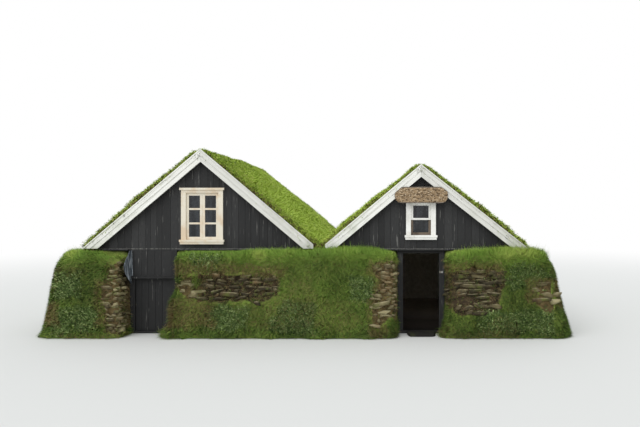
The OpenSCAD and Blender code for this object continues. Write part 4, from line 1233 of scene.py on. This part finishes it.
def room_earth():
    """Earth inside the rooms, which shows through the open doorway only: painted shade darkens it by the door,
    and it is painted paler further in.
    """
    f = Finish("earth", 0.95, 0.1)
    x0, x1 = low("left_roof_frame").x + EARTH_INSET, high("right_roof_frame").x - EARTH_INSET
    y0, y1 = FRONT_Y + BOARD_T, BACK_Y - EARTH_INSET
    from_door = f.math("DIVIDE", f.math("SUBTRACT", f.axes()[1], y0), ROOM_DEPTH)
    # Painted shade and light: the earth is near black by the door, where light falls in, and paler further in,
    # where little light reaches.
    trodden_and_shaded = f.ramp(from_door, (0.06, 0.28, 0.55, 0.87), SHADED_EARTH_COLOURS)
    dusty = f.spread(f.noise(6, 4, 0.55), 0.3, 0.7, 0.8, 1.0)
    earth = flat_sheet("room_earth", x0, y0, x1, y1, EARTH_Z, f.done(f.shaded(trodden_and_shaded, dusty)))


def make_light():
    """One broad soft sun and an even sky, which is white where the camera, gloss or glass sees it."""
    world = bpy.data.worlds.new("studio")
    bpy.context.scene.world = world
    f = Nodes(world)
    f.tree.nodes.clear()
    shiny = f.math("MAXIMUM", f.ray("Glossy"), f.ray("Transmission"))
    seen = f.math("MAXIMUM", f.ray("Camera"), shiny)
    soft = f.node("Background", {"Strength": SKY_STRENGTH})
    soft.node.inputs["Color"].default_value = SKY_COLOUR
    white = f.node("Background", {"Color": WHITE, "Strength": 1.0})
    out = f.tree.nodes.new("ShaderNodeOutputWorld")
    f.feed(out, {"Surface": f.node("MixShader", {0: seen, 1: soft, 2: white})})
    lamp = set_up(bpy.data.lights.new("soft_key", "SUN"), energy=KEY_ENERGY, angle=math.radians(KEY_WIDTH))
    turn = (math.radians(KEY_TILT), 0, math.radians(KEY_TURN))
    set_up(new_object("soft_key", lamp), rotation_euler=turn)


# Build
make_camera()
bpy.context.scene.view_settings.view_transform = "Standard"
make_light()
make_floor()
room_earth()

soil_material("wall_soil", (104, 120, 54), (130, 150, 68), (156, 162, 86))
soil_material("roof_soil", (132, 158, 50), (156, 182, 60), (180, 200, 80))
grass_material(
    "roof_grass",
    green=((110, 130, 50), (158, 182, 69), (192, 216, 92), (218, 234, 122)),
    dry=((138, 124, 72), (178, 164, 102), (206, 194, 134)),
)
grass_material(
    "wall_grass",
    green=((62, 80, 37), (100, 125, 55), (136, 172, 67), (226, 232, 118)),
    leaf=((48, 66, 30), (90, 116, 52), (184, 202, 132)),
    dry=((104, 90, 56), (146, 128, 82), (190, 172, 122)),
)
stone_material("field_stone", 0.8, ((46, 41, 31), (78, 70, 51), (112, 103, 74), (162, 153, 117)))
stone_material("step_stone", 0.15, ((30, 29, 27), (44, 42, 38), (60, 57, 52), (82, 78, 70)))
tar_material()
white_board_material("left")
white_board_material("right")
window_paint_material("cream_paint", (226, 218, 200), (216, 196, 168), (164, 148, 122))
window_paint_material("white_paint", (240, 239, 233), (222, 220, 212), (150, 144, 132))
window_paint_material("worn_sash", (112, 98, 82), (84, 72, 60), (206, 202, 192))
raw_wood_material()
driftwood_material()
glass_material()
iron_material("black_iron", (38, 35, 33), (74, 50, 36), 0.6, 0.7)
iron_material("dull_zinc", (164, 164, 160), (120, 112, 102), 0.45, 0.9)
felt_material()

# Finish and width of bevels of the CAD nodes that stay
NODE_FINISHES = [
    ("aged_wood", 0.003, "left_roof_frame right_roof_frame"),
    ("aged_wood", 0, "left_roof_boards right_roof_boards left_loft_floor right_loft_floor"),
    ("left_white_boards", 0.004, "left_upper_bargeboards left_lower_bargeboards left_back_bargeboards"),
    ("right_white_boards", 0.004, "right_upper_bargeboards right_lower_bargeboards right_back_bargeboards"),
    ("cream_paint", 0.004, "left_window_frame"),
    ("cream_paint", 0.003, "left_casements"),
    ("white_paint", 0.004, "right_window_frame"),
    ("white_paint", 0.003, "right_upper_sash"),
    ("worn_sash", 0.003, "right_lower_sash"),
    ("old_glass", 0, "left_window_glass right_window_glass"),
    ("tarred_boards", 0.003, "left_drip_boards right_drip_board"),
    ("tarred_boards", 0.004, "left_door_frame right_door_frame"),
    ("black_iron", 0, "left_door_straps left_door_hooks"),
    ("dull_zinc", 0, "right_door_hasp"),
]
for finish, bevel, group in NODE_FINISHES:
    for node in group.split():
        paint_node(node, finish, bevel)

walls = turf_walls()
field_stones(walls)
for number, side in enumerate(("left", "right")):
    sods = roof_turf(side)
    roof_grass(side, sods, 61 + number)
    roof_fringe(side, sods, 63 + number)
wall_grass("front_grass", walls, 71, 3100, lambda p, ledge: on_front(p) * (1 - ledge))
wall_grass("ledge_grass", walls, 75, 4400, lambda p, ledge: on_front(p) * ledge)
wall_grass("left_grass", walls, 72, 1150, lambda p, ledge: ~on_front(p) & (p[:, 0] < EAVE_X0))
wall_grass("right_grass", walls, 73, 1150, lambda p, ledge: ~on_front(p) & (p[:, 0] > EAVE_X1))
wall_grass("back_grass", walls, 74, 850,
           lambda p, ledge: (p[:, 1] > BACK_Y) & (p[:, 0] >= EAVE_X0) & (p[:, 0] <= EAVE_X1))

for number, side in enumerate(("left", "right")):
    gable_boards(side + "_gable_boards", side + "_window_frame", FRONT_Y, FRONT_Y + BOARD_T, 81 + number)
    gable_boards(side + "_back_gable", None, BACK_Y - BOARD_T, BACK_Y, 83 + number)
flat_boards("door_planks", "left_door", 0.13, 0.17, 85, "left_door")
flat_boards("panel_planks", "left_door_panel", 0.12, 0.18, 86)
driftwood_plank()
door_stone()
felt_sheet()
